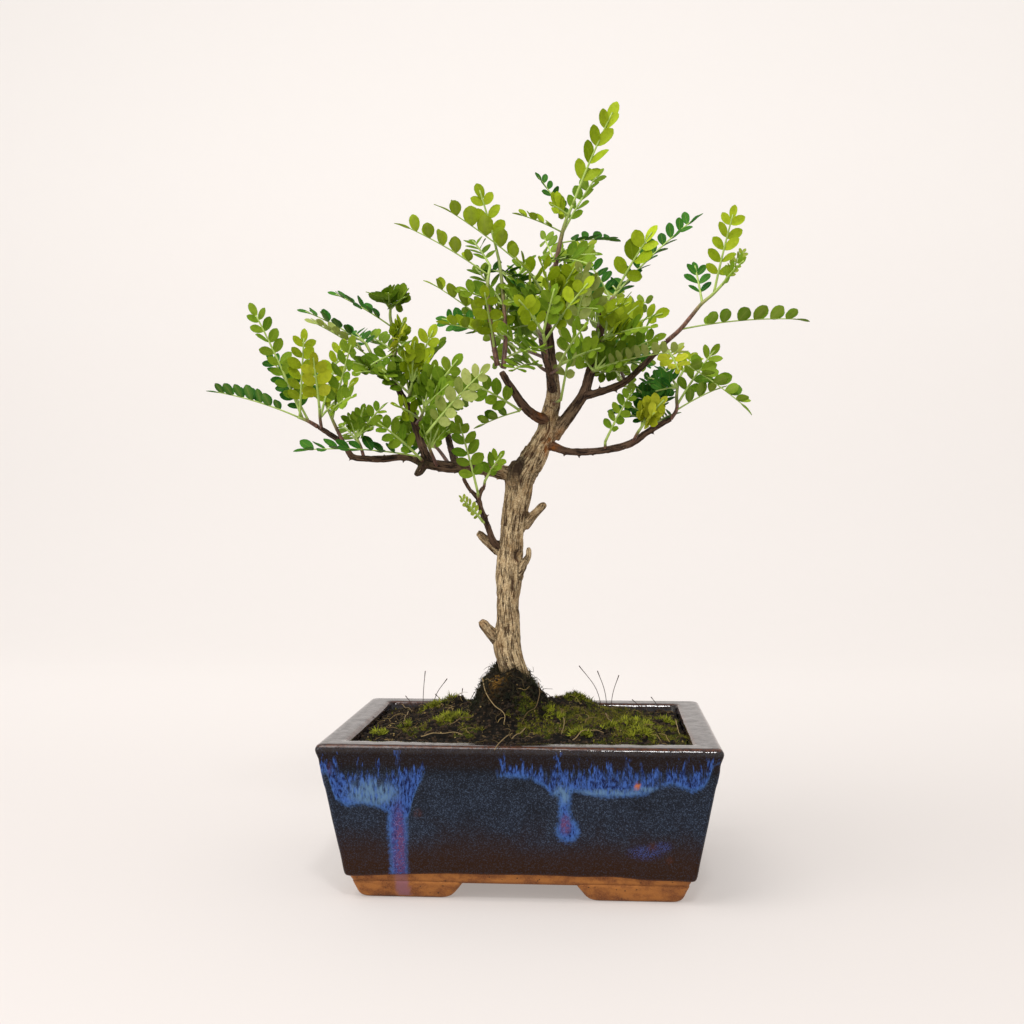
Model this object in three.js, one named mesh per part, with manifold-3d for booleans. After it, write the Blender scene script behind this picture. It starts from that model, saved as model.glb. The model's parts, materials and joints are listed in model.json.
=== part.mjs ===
// A chinese pepper bonsai in its glazed ceramic tray.
// Millimetres, +Z up, +X to the viewer's right, -Y towards the viewer.

import * as THREE from 'three';
import { mergeVertices } from 'three/addons/utils/BufferGeometryUtils.js';
import Module from 'manifold-3d';

const wasm = await Module();
wasm.setup();
const { Manifold, Mesh } = wasm;

// Driving dimensions
const GAP = 0.3;
const POT = {
  length: 203,
  width: 160,
  height: 81.5,
  taper: 13,
  footHeight: 9,
  neckHeight: 9,
  neckInset: 2.2,
  lip: 14.5,
  floor: 8,
  wallTaper: 9,
  cornerRadius: 4,
  innerRadius: 4,
  edgeRadius: 1.5,
};
// Where the middle of the tray's foot stands in the tree's own frame, which the limbs are given in
const POT_PLACE = [-0.7, 0, -2.2];
// The tray's side near its feet as [height above the body's bottom, inset past the taper]: the
// unglazed band, then the glaze's edge and its small rounding
const SIDE = [[0, 4], [4.5, 2.6], [4.5, 0.8], [6.5, -0.3]];
const FOOT = {
  length: 57.6,
  width: 41,
  inset: 16.3,
  slantEnd: 2.3,
  slantFront: 4.7,
  slantInner: 7.4,
  radius: 4,
};
const DRAIN = { offset: 40, radius: 8, sides: 16 };
const SCREEN = { size: 30, thickness: 1.2, holeSize: 6.5, holesAcross: 3 };
// How far a joined or cutting solid reaches past the other one's face
const OVERLAP = 1;
const SOIL = {
  edge: 77.5,
  dome: 9,
  moundHeight: 23,
  moundX: -11,
  plateau: 0.25,
  core: 5,
  reachLeft: 24,
  reachRight: 30,
  reachFront: 36,
  reachBack: 30,
  bump: 0.9,
  bumpsAcross: 0.37,
  bumpsAlong: 0.31,
  bumpsSkew: 0.11,
  sides: 24,
  rings: 7,
  cornerCut: 1.2,
};
// A frond: its blade's thickness and rib, shares of its length that are bare stalk and last leaflet,
// how far it arches (share of its length) and rolls, and how far its leaflets lean forward (radians)
const FROND = {
  thickness: 0.62,
  ribHalfWidth: 0.65,
  footHalfWidth: 0.35,
  stalk: 0.14,
  last: 0.12,
  arch: 0.07,
  roll: 0.25,
  lean: 0.42,
  pairSpacing: 16,
  fewestPairs: 2,
  mostPairs: 4,
};
// A leaflet: shares of the frond's leaflet length at the rib's ends and middle, how much it varies,
// its width as a share of the space that it has and at most of its own length, and the length in
// millimetres from which it gets a rounder rim
const LEAFLET = { atEnds: 0.84, swell: 0.22, skew: 0.6, vary: 0.16, fill: 0.86, widest: 0.8, large: 8.5 };
const DRAWS_PER_FROND = 16;
// Leaflet rims as [share of length, share of width]
const ROUND_RIM = [[0.46, -0.5], [1, -0.08], [0.66, 0.5]];
const PLAIN_RIM = [[0.72, -0.5], [1, 0.2]];
const LAST_RIM = [[0.6, 0.34], [1, 0], [0.6, -0.34]];
const SHOOT = { tipRadius: 0.85, thick: 1.25, thickSides: 4, thinSides: 3 };
const LIMB = { trunkSides: 10, trunkLevels: 16, thick: 4.6, thickSides: 6, thinSides: 5, levelShare: 0.8 };
const FEWEST_LEVELS = 2;

// How a frond lies: the way its upper face looks, and how far its leaflets fold up from flat
const FACES = {
  front: { normal: [0, -1, 0.4], fold: 0.4 },
  back: { normal: [0, 1, 0.4], fold: 0.4 },
  up: { normal: [0, -0.3, 1], fold: 0.45 },
  raised: { normal: [0, -0.15, 1], fold: 1.05 },
};
const TONES = {
  bright: '#86a93a',
  mid: '#5d8c36',
  dark: '#2f6440',
  yellow: '#a9b944',
  pale: '#8ba65c',
  young: '#9db85e',
};

// Woody limbs as hand-picked points [x, y, z, radius], from where each leaves its parent
const LIMBS = {
  trunk: [
    [-6, 0, 71, 9.2], [-6, 0, 90, 8.6], [-7.2, 0, 105, 7.8], [-10.6, 0, 117, 7.8], [-11.4, 0, 125, 7.7],
    [-11, 0, 132, 6.9],
    [-11, 0, 146, 6.7], [-10, 0, 158, 7.3], [-10, 0, 171, 7], [-8, 0, 190, 7.2], [-5, 0, 205, 7.9],
    [-4, 0, 214, 8.2], [1, 0, 222, 7.4], [6, 0, 231, 6.7], [11, 0, 240, 6.2], [12, 0, 250, 5.6],
  ],
  leader: [
    [12, 0, 247, 5.2], [14, 0, 257, 4.4], [14, 0, 269, 3.8], [13, 1, 280, 3.2], [12, 2, 292, 2.7],
    [11, 3, 303, 2.2], [12, 4, 314, 1.8],
  ],
  right: [
    [14, 0, 237, 4.4], [21, -2, 246, 3.6], [28, -4, 255, 3.3], [32, -5, 262, 3], [35, -6, 273, 2.8],
    [38, -6, 285, 2.6], [41, -5, 298, 2.3], [43, -4, 309, 2],
  ],
  rightLong: [
    [31, -5, 259, 2.5], [40, -8, 261, 2.2], [47, -10, 263, 2], [54, -12, 266, 1.9],
    [62, -14, 273, 1.8], [70, -16, 281, 1.6], [76, -18, 287, 1.4],
  ],
  rightLow: [
    [13, -2, 232, 2.8], [21, -8, 229, 2.3], [28, -12, 228, 2.1], [36, -15, 228, 2], [45, -17, 229, 2],
    [54, -19, 231, 2], [60, -20, 234, 1.9], [67, -21, 239, 1.8], [78, -22, 245, 1.4],
  ],
  leftUpper: [
    [12, -2, 246, 3.2], [7, -6, 247, 2.9], [2, -9, 250, 2.7], [-2, -13, 254, 2.5],
    [-6, -17, 260, 2.3], [-10, -20, 266, 2.1], [-13, -22, 271, 1.8],
  ],
  leftMain: [
    [-6, 0, 215, 5], [-15, -3, 218, 4.2], [-23, -7, 219, 3.8], [-34, -12, 220, 3.4],
    [-44, -17, 220, 3.2], [-57, -22, 222, 2.6],
  ],
  leftRising: [
    [-52, -20, 221, 2.8], [-56, -19, 230, 2.5], [-59, -18, 239, 2.4], [-62, -16, 248, 2.3],
    [-66, -15, 255, 2.2], [-70, -14, 262, 2], [-73, -14, 269, 1.7],
  ],
  leftReaching: [
    [-55, -21, 222, 2.6], [-65, -22, 225, 2.1], [-76, -24, 224, 2], [-85, -26, 224, 1.9],
    [-93, -28, 225, 1.9], [-96, -30, 230, 1.7], [-100, -31, 234, 1.6], [-111, -32, 241, 1.3],
  ],
  leftSmall: [
    [-16, -2, 176, 2.4], [-19, -6, 180, 2], [-22, -10, 189, 1.8], [-25, -12, 197, 1.6],
    [-26, -14, 202, 1.4], [-31, -16, 208, 1.2], [-34, -19, 214, 1.1],
  ],
  leftSmallFork: [[-26, -14, 202, 1.4], [-25, -14, 206, 1.3], [-23, -14, 209, 1.3]],
  forkStump: [[-6, -3, 211, 5.2], [-6, -4, 217, 5], [-4, -4, 223, 4.6]],
  shoulderStump: [[2, 0, 216, 5.4], [0, 0, 224, 4.4], [-1, 0, 230, 3.6]],
  stubLeft: [[-16, 0, 174, 3.2], [-22, -2, 179, 2.9], [-28, -3, 184, 2.5]],
  stubRight: [[-2, 0, 187, 3], [4, -2, 194, 2.7], [10, -3, 200, 2.5]],
  stubKnee: [[-6, 0, 161, 4.2], [-2, -3, 167, 3], [0, -4, 175, 2.1]],
  stubLow: [[-15, 0, 122, 3.6], [-21, -3, 129, 3.1], [-26, -4, 135, 2.6]],
  burl: [[-55, -22, 221, 2.6], [-57, -25, 217, 2.2], [-59, -27, 215, 1.2]],
  front: [[14, 0, 262, 2.6], [13, -20, 270, 2.2], [12, -38, 276, 1.6]],
  backLeft: [[-38, -13, 220, 2.4], [-45, 15, 233, 2], [-50, 36, 246, 1.5]],
  backMiddle: [[14, 0, 271, 2.6], [9, 27, 284, 2.1], [5, 50, 297, 1.5]],
  backRight: [[34, -5, 270, 2.4], [39, 24, 285, 2], [44, 46, 296, 1.5]],
};

// Leafy sprays: the shoot's base radius and hand-picked points, and its fronds as
// [place along the shoot, tip x, y, z, face, tone, leaflet length]
const SPRAYS = {
  crown_tip: {
    radius: 1.7,
    stem: [[12, 4, 314], [15, 4, 330], [18, 2, 345], [21, 0, 356], [25, -2, 365]],
    fronds: [
      [1, 50, -8, 420, 'front', 'bright', 12], [0.6, 42, 10, 389, 'front', 'mid', 8],
      [0.85, 12, -12, 364, 'front', 'bright', 8], [0.8, 4, 12, 385, 'up', 'dark', 6],
      [0.62, -8, -8, 360, 'up', 'bright', 6.5], [0.5, 52, 22, 350, 'up', 'dark', 8],
      [0.35, 36, -25, 327, 'front', 'mid', 8],
    ],
  },
  right_tip: {
    radius: 1.3,
    stem: [[76, -18, 287], [83, -20, 293], [89, -22, 300], [94, -23, 306], [100, -24, 311], [106, -26, 317]],
    fronds: [
      [0.2, 151, -24, 297, 'raised', 'mid', 8.8], [0.82, 111, -34, 356, 'front', 'bright', 8],
      [0.62, 91, -12, 331, 'front', 'dark', 7], [1, 118, -20, 336, 'front', 'young', 3.5],
      [0.96, 115, -40, 325, 'front', 'mid', 6],
    ],
  },
  left_tip: {
    radius: 1.2,
    stem: [[-111, -32, 241], [-116, -34, 244], [-121, -36, 246]],
    fronds: [
      [1, -169, -42, 260, 'raised', 'dark', 7], [0.75, -145, -44, 306, 'front', 'mid', 7.5],
      [0.45, -140, -28, 282, 'front', 'dark', 7], [0.9, -114, -26, 287, 'front', 'bright', 7.5],
    ],
  },
  left_row: {
    radius: 1.5,
    stem: [[-15, -23, 274], [-18, -24, 292], [-20, -24, 309], [-20, -24, 320], [-19, -22, 328]],
    fronds: [
      [0.83, -69, -34, 350, 'raised', 'bright', 9], [0.22, -50, -12, 302, 'front', 'dark', 8],
      [0.12, -20, -52, 312, 'front', 'bright', 8.5], [1, -32, 0, 348, 'front', 'mid', 7],
    ],
  },
  left_fan: {
    radius: 1.4,
    stem: [[-12, -21, 273], [-11, -18, 289], [-12, -16, 308], [-14, -15, 328], [-16, -16, 338]],
    fronds: [
      [1, -26, -22, 373, 'front', 'bright', 9], [0.25, -56, -38, 319, 'raised', 'bright', 8.5],
      [0.72, 7, -6, 318, 'up', 'dark', 7], [0.5, 0, 4, 335, 'front', 'mid', 8],
      [0.42, -35, 12, 316, 'up', 'mid', 7],
    ],
  },
  upper_left: {
    radius: 1.2,
    stem: [[11, 2, 302], [9, -8, 313], [4, -14, 324]],
    fronds: [
      [1, -47, -22, 359, 'raised', 'bright', 10], [0.62, -3, -48, 327, 'front', 'bright', 9],
      [0.35, -10, -44, 304, 'front', 'mid', 8],
    ],
  },
  right_crown: {
    radius: 1.5,
    stem: [[43, -4, 308], [47, -2, 313], [49, 0, 317]],
    fronds: [
      [1, 71, -12, 351, 'front', 'bright', 11], [0.7, 98, 16, 364, 'up', 'dark', 8],
      [0.4, 33, 24, 339, 'front', 'dark', 8],
    ],
  },
  left_rise_tip: {
    radius: 1.4,
    stem: [
      [-73, -14, 269], [-73, -14, 278], [-72, -14, 284], [-73, -13, 293], [-75, -12, 302], [-75, -12, 307],
    ],
    fronds: [
      [1, -72, -38, 312, 'front', 'mid', 8], [0.68, -108, -20, 316, 'up', 'dark', 7.5],
      [0.28, -63, -46, 289, 'front', 'yellow', 8], [0.5, -64, -26, 300, 'front', 'bright', 6],
      [0.35, -95, 14, 297, 'front', 'mid', 7],
    ],
  },
  left_twig: {
    radius: 1.1,
    stem: [[-70, -14, 262], [-79, -15, 270], [-83, -15, 278], [-86, -16, 284], [-88, -16, 288]],
    fronds: [
      [0.95, -124, -24, 306, 'up', 'dark', 8.5], [0.5, -116, -40, 298, 'up', 'pale', 7.5],
      [0.75, -101, 12, 299, 'front', 'dark', 7], [0.3, -90, -42, 268, 'front', 'mid', 7.5],
    ],
  },
  left_yellow: {
    radius: 1,
    stem: [[-109, -32, 240], [-108, -40, 245], [-107, -46, 250]],
    fronds: [[1, -108, -58, 278, 'front', 'yellow', 9], [0.5, -96, -34, 288, 'front', 'bright', 7]],
  },
  left_inner: {
    radius: 1.1,
    stem: [[-96, -30, 230], [-99, -34, 237], [-102, -36, 244], [-105, -38, 252]],
    fronds: [
      [0.7, -90, -50, 274, 'front', 'mid', 8.5], [1, -116, -16, 272, 'front', 'dark', 7],
      [0.85, -83, -62, 254, 'front', 'mid', 7.5],
    ],
  },
  left_long_leaf: {
    radius: 1,
    stem: [[-55, -22, 222], [-57, -29, 225]],
    fronds: [[1, -119, -54, 227, 'up', 'dark', 8], [0.8, -79, -38, 244, 'front', 'mid', 8]],
  },
  left_small_rise: {
    radius: 1,
    stem: [[-87, -26, 224], [-88, -30, 230], [-90, -32, 235]],
    fronds: [[1, -73, -34, 254, 'front', 'mid', 6], [0.5, -107, 6, 245, 'front', 'mid', 6]],
  },
  left_right_hand: {
    radius: 1.1,
    stem: [[-66, -15, 255], [-63, -21, 258], [-61, -25, 265]],
    fronds: [
      [1, -47, -34, 295, 'front', 'bright', 8.5], [0.6, -45, -6, 292, 'up', 'mid', 7.5],
      [0.25, -44, -34, 270, 'front', 'mid', 7.5],
    ],
  },
  left_front: {
    radius: 1,
    stem: [[-60, -18, 243], [-56, -27, 246], [-53, -34, 251]],
    fronds: [[1, -32, -42, 278, 'front', 'mid', 8.5], [0.4, -69, -46, 252, 'front', 'bright', 7.5]],
  },
  left_pale: {
    radius: 1,
    stem: [[-48, -20, 220], [-50, -33, 228], [-52, -41, 235]],
    fronds: [[1, -16, -54, 271, 'front', 'pale', 8], [0.55, -37, -40, 254, 'front', 'mid', 7]],
  },
  left_behind: {
    radius: 1.1,
    stem: [[-42, -14, 221], [-49, 0, 229], [-55, 8, 235], [-60, 16, 241]],
    fronds: [
      [1, -79, 30, 251, 'front', 'mid', 7.5], [0.7, -52, 34, 262, 'front', 'mid', 7.5],
      [0.45, -74, 30, 234, 'front', 'dark', 7],
    ],
  },
  hanging_leaf: {
    radius: 0.9,
    stem: [[-26, -13, 201], [-26, -19, 206]],
    fronds: [[1, -36, -32, 247, 'front', 'mid', 8]],
  },
  small_leaf: {
    radius: 0.9,
    stem: [[-23, -14, 209], [-22, -20, 212]],
    fronds: [[1, -11, -26, 228, 'front', 'mid', 7]],
  },
  twig_bud: {
    radius: 0.9,
    stem: [[-21, -9, 188], [-24, -12, 190]],
    fronds: [[1, -36, -16, 204, 'front', 'young', 3.5]],
  },
  left_upper_fall: {
    radius: 1,
    stem: [[-2, -13, 253], [-4, -16, 250]],
    fronds: [[0.8, -34, -24, 266, 'front', 'mid', 8], [1, -28, -20, 240, 'raised', 'mid', 7]],
  },
  right_drop: {
    radius: 1,
    stem: [[75, -17, 285], [76, -23, 282], [78, -28, 278]],
    fronds: [[1, 119, -42, 246, 'raised', 'mid', 8.5], [0.6, 81, -50, 266, 'front', 'yellow', 8]],
  },
  right_fan: {
    radius: 1,
    stem: [[38, -6, 286], [41, -13, 288], [43, -18, 289]],
    fronds: [[1, 77, -32, 301, 'front', 'bright', 9], [0.6, 69, -44, 289, 'front', 'mid', 8]],
  },
  right_arch: {
    radius: 1.1,
    stem: [[35, -6, 272], [38, -15, 272]],
    fronds: [
      [1, 75, -30, 289, 'front', 'mid', 8], [0.85, 90, -48, 265, 'raised', 'pale', 7.5],
      [0.6, 63, 0, 284, 'up', 'mid', 7],
    ],
  },
  right_behind: {
    radius: 1,
    stem: [[54, -12, 266], [52, 0, 273], [51, 12, 280]],
    fronds: [[1, 72, 30, 291, 'front', 'dark', 7], [0.6, 40, 34, 288, 'front', 'mid', 7]],
  },
  low_right_tip: {
    radius: 1.1,
    stem: [[78, -22, 245], [81, -24, 250], [81, -23, 257], [82, -22, 266]],
    fronds: [
      [0.3, 107, -30, 262, 'raised', 'mid', 7], [0.45, 104, -36, 279, 'front', 'mid', 8],
      [1, 93, -14, 283, 'front', 'bright', 7], [0.85, 73, -2, 276, 'front', 'dark', 7],
    ],
  },
  low_right_dark: {
    radius: 1,
    stem: [[70, -21, 240], [70, -18, 245], [70, -14, 252]],
    fronds: [
      [1, 65, -8, 272, 'front', 'dark', 6], [0.6, 80, 4, 266, 'front', 'dark', 6],
      [0.3, 60, 8, 261, 'front', 'dark', 6],
    ],
  },
  low_right_bright: {
    radius: 1,
    stem: [[58, -20, 233], [60, -27, 237], [62, -31, 240]],
    fronds: [[1, 75, -42, 255, 'front', 'yellow', 7.5]],
  },
  low_right_small: {
    radius: 0.9,
    stem: [[43, -17, 229], [43, -20, 233]],
    fronds: [[1, 59, -28, 262, 'front', 'mid', 6]],
  },
  right_front_pale: {
    radius: 1.1,
    stem: [[40, -6, 297], [40, -16, 299]],
    fronds: [[1, 28, -46, 325, 'front', 'pale', 8], [0.8, 57, -48, 304, 'front', 'bright', 9]],
  },
  middle_front: {
    radius: 1.2,
    stem: [[12, -38, 276], [12, -47, 281], [11, -53, 287]],
    fronds: [
      [0.7, 37, -68, 313, 'front', 'bright', 8.5], [1, -2, -72, 303, 'front', 'bright', 8.5],
      [1, 18, -62, 311, 'front', 'mid', 8.5], [0.4, 2, -86, 273, 'front', 'mid', 8],
    ],
  },
  middle_front_right: {
    radius: 1.1,
    stem: [[13, -21, 270], [18, -34, 271], [20, -44, 274]],
    fronds: [[1, 34, -74, 289, 'front', 'mid', 8], [0.7, 43, -66, 278, 'front', 'mid', 8]],
  },
  middle_stem: {
    radius: 1,
    stem: [[14, -2, 255], [19, -16, 256]],
    fronds: [[1, 26, -58, 303, 'front', 'pale', 8]],
  },
  middle_low_left: {
    radius: 1.1,
    stem: [[13, -2, 272], [8, -14, 274], [4, -23, 277]],
    fronds: [[1, -12, -62, 288, 'front', 'mid', 8.5], [0.7, -5, -64, 266, 'front', 'mid', 8]],
  },
  middle_top: {
    radius: 1.1,
    stem: [[12, 1, 298], [14, -12, 303], [16, -22, 307]],
    fronds: [
      [1, 29, -44, 327, 'front', 'bright', 8.5], [0.9, 9, -54, 326, 'front', 'bright', 9],
      [0.6, 38, -40, 308, 'front', 'mid', 8],
    ],
  },
  back_inner_left: {
    radius: 1.1,
    stem: [[12, 3, 288], [6, 16, 296], [2, 24, 303]],
    fronds: [
      [1, -19, 38, 326, 'front', 'mid', 8], [0.9, -4, 52, 334, 'front', 'mid', 8],
      [0.6, -20, 54, 307, 'front', 'dark', 8],
    ],
  },
  back_left_tip: {
    radius: 1.2,
    stem: [[-50, 36, 246], [-53, 48, 255], [-55, 58, 262]],
    fronds: [
      [1, -80, 84, 281, 'up', 'mid', 8], [1, -55, 84, 290, 'back', 'mid', 8],
      [0.6, -33, 84, 273, 'back', 'mid', 8], [0.3, -77, 72, 252, 'back', 'mid', 7.5],
    ],
  },
  back_tip: {
    radius: 1.2,
    stem: [[5, 50, 297], [4, 62, 305], [2, 72, 313]],
    fronds: [
      [1, -18, 100, 338, 'back', 'mid', 8.5], [1, 6, 104, 350, 'back', 'bright', 8.5],
      [0.8, 25, 108, 331, 'back', 'mid', 8], [0.4, -11, 112, 309, 'back', 'mid', 8],
    ],
  },
  back_right_tip: {
    radius: 1.2,
    stem: [[44, 46, 296], [47, 57, 302], [49, 66, 308]],
    fronds: [
      [1, 74, 90, 329, 'back', 'mid', 8.5], [1, 50, 94, 341, 'back', 'bright', 8],
      [0.7, 71, 104, 306, 'back', 'mid', 8], [0.5, 31, 108, 319, 'back', 'mid', 8],
    ],
  },
  back_top: {
    radius: 1.2,
    stem: [[12, 3, 305], [14, 18, 316], [15, 30, 327], [17, 40, 336]],
    fronds: [
      [1, 38, 62, 359, 'back', 'bright', 8], [0.9, 5, 64, 365, 'back', 'mid', 8],
      [0.6, 27, 84, 347, 'back', 'mid', 8],
    ],
  },
  back_low_left: {
    radius: 1.1,
    stem: [[9, 27, 284], [0, 40, 289], [-8, 50, 292]],
    fronds: [
      [1, -33, 68, 307, 'back', 'mid', 8], [0.8, -27, 84, 285, 'back', 'mid', 8],
      [0.6, -13, 88, 317, 'back', 'mid', 8],
    ],
  },
  back_low_right: {
    radius: 1.1,
    stem: [[39, 24, 285], [44, 38, 283], [47, 50, 282]],
    fronds: [[1, 74, 66, 285, 'back', 'mid', 8], [0.8, 59, 86, 270, 'back', 'mid', 7.5]],
  },
};

// Small turns tried in order until a frond is clear of what is already there: [tip dy, tip dz, tip dx]
const TURNS = [
  [0, 0, 0], [-8, 0, 0], [8, 0, 0], [-8, 4, 0], [8, 4, 0], [0, 5, 2], [0, 5, -2], [-16, 0, 0], [16, 0, 0],
  [-16, 6, 0], [16, 6, 0], [-10, 8, 4], [-10, 8, -4], [10, 8, 4], [10, 8, -4], [0, -7, 4], [0, -7, -4],
  [-24, 4, 0], [24, 4, 0], [-20, 10, 6], [-20, 10, -6], [20, 10, 6], [20, 10, -6],
  [0, 14, 8], [0, 14, -8], [-30, -4, 0], [30, -4, 0], [-12, -12, 0], [12, -12, 0],
];

const UP = new THREE.Vector3(0, 0, 1);
const vector = (point) => new THREE.Vector3(point[0], point[1], point[2]);
const clamp = THREE.MathUtils.clamp;
const smooth = THREE.MathUtils.smoothstep;

// A fixed draw between 0 and 1 for every whole number
const DRAW = { step: 12.9898, spread: 43758.5453 };
function draw(number) {
  const wave = Math.sin(number * DRAW.step) * DRAW.spread;
  return wave - Math.floor(wave);
}

// A closed three.js geometry as a solid
const MERGE_DISTANCE = 1e-4;
function solid(geometry) {
  const bare = geometry.clone();
  bare.deleteAttribute('normal');
  bare.deleteAttribute('uv');
  const merged = mergeVertices(bare, MERGE_DISTANCE);
  return new Manifold(new Mesh({
    numProp: 3,
    vertProperties: new Float32Array(merged.attributes.position.array),
    triVerts: new Uint32Array(merged.index.array),
  }));
}

// A solid as a named three.js mesh
function meshOf(name, shape, material) {
  const source = shape.getMesh();
  const geometry = new THREE.BufferGeometry();
  geometry.setAttribute('position', new THREE.BufferAttribute(new Float32Array(source.vertProperties), 3));
  geometry.setIndex(new THREE.BufferAttribute(new Uint32Array(source.triVerts), 1));
  geometry.computeVertexNormals();
  const mesh = new THREE.Mesh(geometry, material);
  mesh.name = name;
  return mesh;
}

// A cylinder whose every vertex is moved by place(side, level, onAxis), level 0 at its lower end
function shapedCylinder(sides, levels, place) {
  const geometry = new THREE.CylinderGeometry(1, 1, 1, sides, levels);
  const position = geometry.attributes.position;
  for (let i = 0; i < position.count; i += 1) {
    const turn = Math.atan2(position.getX(i), position.getZ(i)) / (2 * Math.PI);
    const side = (Math.round(turn * sides) + sides) % sides;
    const level = Math.round((position.getY(i) + 0.5) * levels);
    const onAxis = Math.hypot(position.getX(i), position.getZ(i)) < 0.5;
    position.setXYZ(i, ...place(side, level, onAxis).toArray());
  }
  return geometry;
}

// Points of a rounded rectangle, numbered round it from the +X side
const ARC_STEPS = 3;
const OUTLINE_SIDES = 4 * (ARC_STEPS + 1);
function roundedRectangle(side, halfLength, halfWidth, radius) {
  const corner = Math.floor(side / (ARC_STEPS + 1));
  const angle = (corner + (side % (ARC_STEPS + 1)) / ARC_STEPS) * Math.PI / 2;
  const signX = corner === 0 || corner === 3 ? 1 : -1;
  const signY = corner < 2 ? 1 : -1;
  return new THREE.Vector3(
    signX * (halfLength - radius) + radius * Math.cos(angle),
    signY * (halfWidth - radius) + radius * Math.sin(angle),
    0,
  );
}

// A stack of rounded rectangles, each about its own middle x, y
function stack(levels) {
  return solid(shapedCylinder(OUTLINE_SIDES, levels.length - 1, (side, level, onAxis) => {
    const { z, halfLength, halfWidth, radius, x = 0, y = 0 } = levels[level];
    const point = onAxis ? new THREE.Vector3() : roundedRectangle(side, halfLength, halfWidth, radius);
    return point.add(new THREE.Vector3(x, y, z));
  }));
}

function boxAt(x, y, low, high, length, width) {
  const geometry = new THREE.BoxGeometry(length, width, high - low);
  geometry.translate(x, y, (low + high) / 2);
  return solid(geometry);
}

const BODY_BOTTOM = POT.footHeight;
const FLOOR_TOP = BODY_BOTTOM + POT.floor;

// The tray's outline at one height, some way in from the lip's edge
function trayLevel(z, inset, radius = POT.cornerRadius) {
  return { z, halfLength: POT.length / 2 - inset, halfWidth: POT.width / 2 - inset, radius };
}

function makePot() {
  const { height, taper, neckHeight, neckInset, lip, wallTaper, innerRadius, edgeRadius } = POT;
  const body = stack([
    ...SIDE.map(([above, inset]) => trayLevel(BODY_BOTTOM + above, taper + inset)),
    trayLevel(height - neckHeight, neckInset),
    trayLevel(height - edgeRadius, 0),
    trayLevel(height, edgeRadius),
    trayLevel(height, lip - edgeRadius, innerRadius),
    trayLevel(height - edgeRadius, lip, innerRadius),
    trayLevel(FLOOR_TOP, lip + wallTaper, innerRadius),
  ]);
  const feet = [-1, 1].flatMap((alongX) => [-1, 1].map((alongY) => {
    const centreX = POT.length / 2 - FOOT.inset - FOOT.length / 2;
    const centreY = POT.width / 2 - FOOT.inset - FOOT.width / 2;
    return stack([
      {
        z: 0,
        x: alongX * (centreX - (FOOT.slantEnd - FOOT.slantInner) / 2),
        y: alongY * (centreY - (FOOT.slantFront - FOOT.slantInner) / 2),
        halfLength: (FOOT.length - FOOT.slantEnd - FOOT.slantInner) / 2,
        halfWidth: (FOOT.width - FOOT.slantFront - FOOT.slantInner) / 2,
        radius: FOOT.radius,
      },
      {
        z: BODY_BOTTOM + OVERLAP,
        x: alongX * centreX,
        y: alongY * centreY,
        halfLength: FOOT.length / 2,
        halfWidth: FOOT.width / 2,
        radius: FOOT.radius,
      },
    ]);
  }));
  const drains = [-1, 1].map((along) => {
    const depth = POT.floor + 2 * OVERLAP;
    const hole = new THREE.CylinderGeometry(DRAIN.radius, DRAIN.radius, depth, DRAIN.sides);
    hole.rotateX(Math.PI / 2);
    hole.translate(along * DRAIN.offset, 0, (BODY_BOTTOM + FLOOR_TOP) / 2);
    return solid(hole);
  });
  return Manifold.union([body, ...feet]).subtract(Manifold.union(drains));
}

function makeScreen(x) {
  const low = FLOOR_TOP + GAP;
  const high = low + SCREEN.thickness;
  const pitch = SCREEN.size / SCREEN.holesAcross;
  const middle = (SCREEN.holesAcross - 1) / 2;
  const places = Array.from({ length: SCREEN.holesAcross }, (_, i) => (i - middle) * pitch);
  const holes = places.flatMap((dx) => places.map((dy) => (
    boxAt(x + dx, dy, low - OVERLAP, high + OVERLAP, SCREEN.holeSize, SCREEN.holeSize)
  )));
  return boxAt(x, 0, low, high, SCREEN.size, SCREEN.size).subtract(Manifold.union(holes));
}

// Height of the compost: a low dome, the steep root mound round the trunk and small bumps
function soilHeight(x, y) {
  const across = x / (POT.length / 2 - POT.lip);
  const along = y / (POT.width / 2 - POT.lip);
  const dome = SOIL.dome * (1 - across * across) * (1 - along * along);
  const dx = x - SOIL.moundX;
  const reachX = dx < 0 ? SOIL.reachLeft : SOIL.reachRight;
  const reachY = y < 0 ? SOIL.reachFront : SOIL.reachBack;
  const share = Math.hypot(dx / reachX, y / reachY);
  const mound = SOIL.moundHeight * (1 - smooth(share, SOIL.plateau, 1));
  const wave = Math.sin(x * SOIL.bumpsAcross + 1) * Math.cos(y * SOIL.bumpsAlong + x * SOIL.bumpsSkew);
  const bumps = SOIL.bump * (wave - share / (share + 1));
  return SOIL.edge + Math.max(dome, 0) + mound + bumps;
}

// A walk round a square of half size 1, eight steps of 1 from the middle of its +X side
function squareWalk(step) {
  const wave = (at) => clamp(Math.abs(THREE.MathUtils.euclideanModulo(at, 8) - 4) - 2, -1, 1);
  return [wave(step), wave(step - 2)];
}

// Points evenly along a rectangle's sides, its corners cut a little
function soilRim(side, inset) {
  const [x, y] = squareWalk(side / SOIL.sides * 8);
  const cut = Math.abs(x * y) === 1 ? SOIL.cornerCut : 0;
  return new THREE.Vector3(x * (POT.length / 2 - inset - cut), y * (POT.width / 2 - inset - cut), 0);
}

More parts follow.
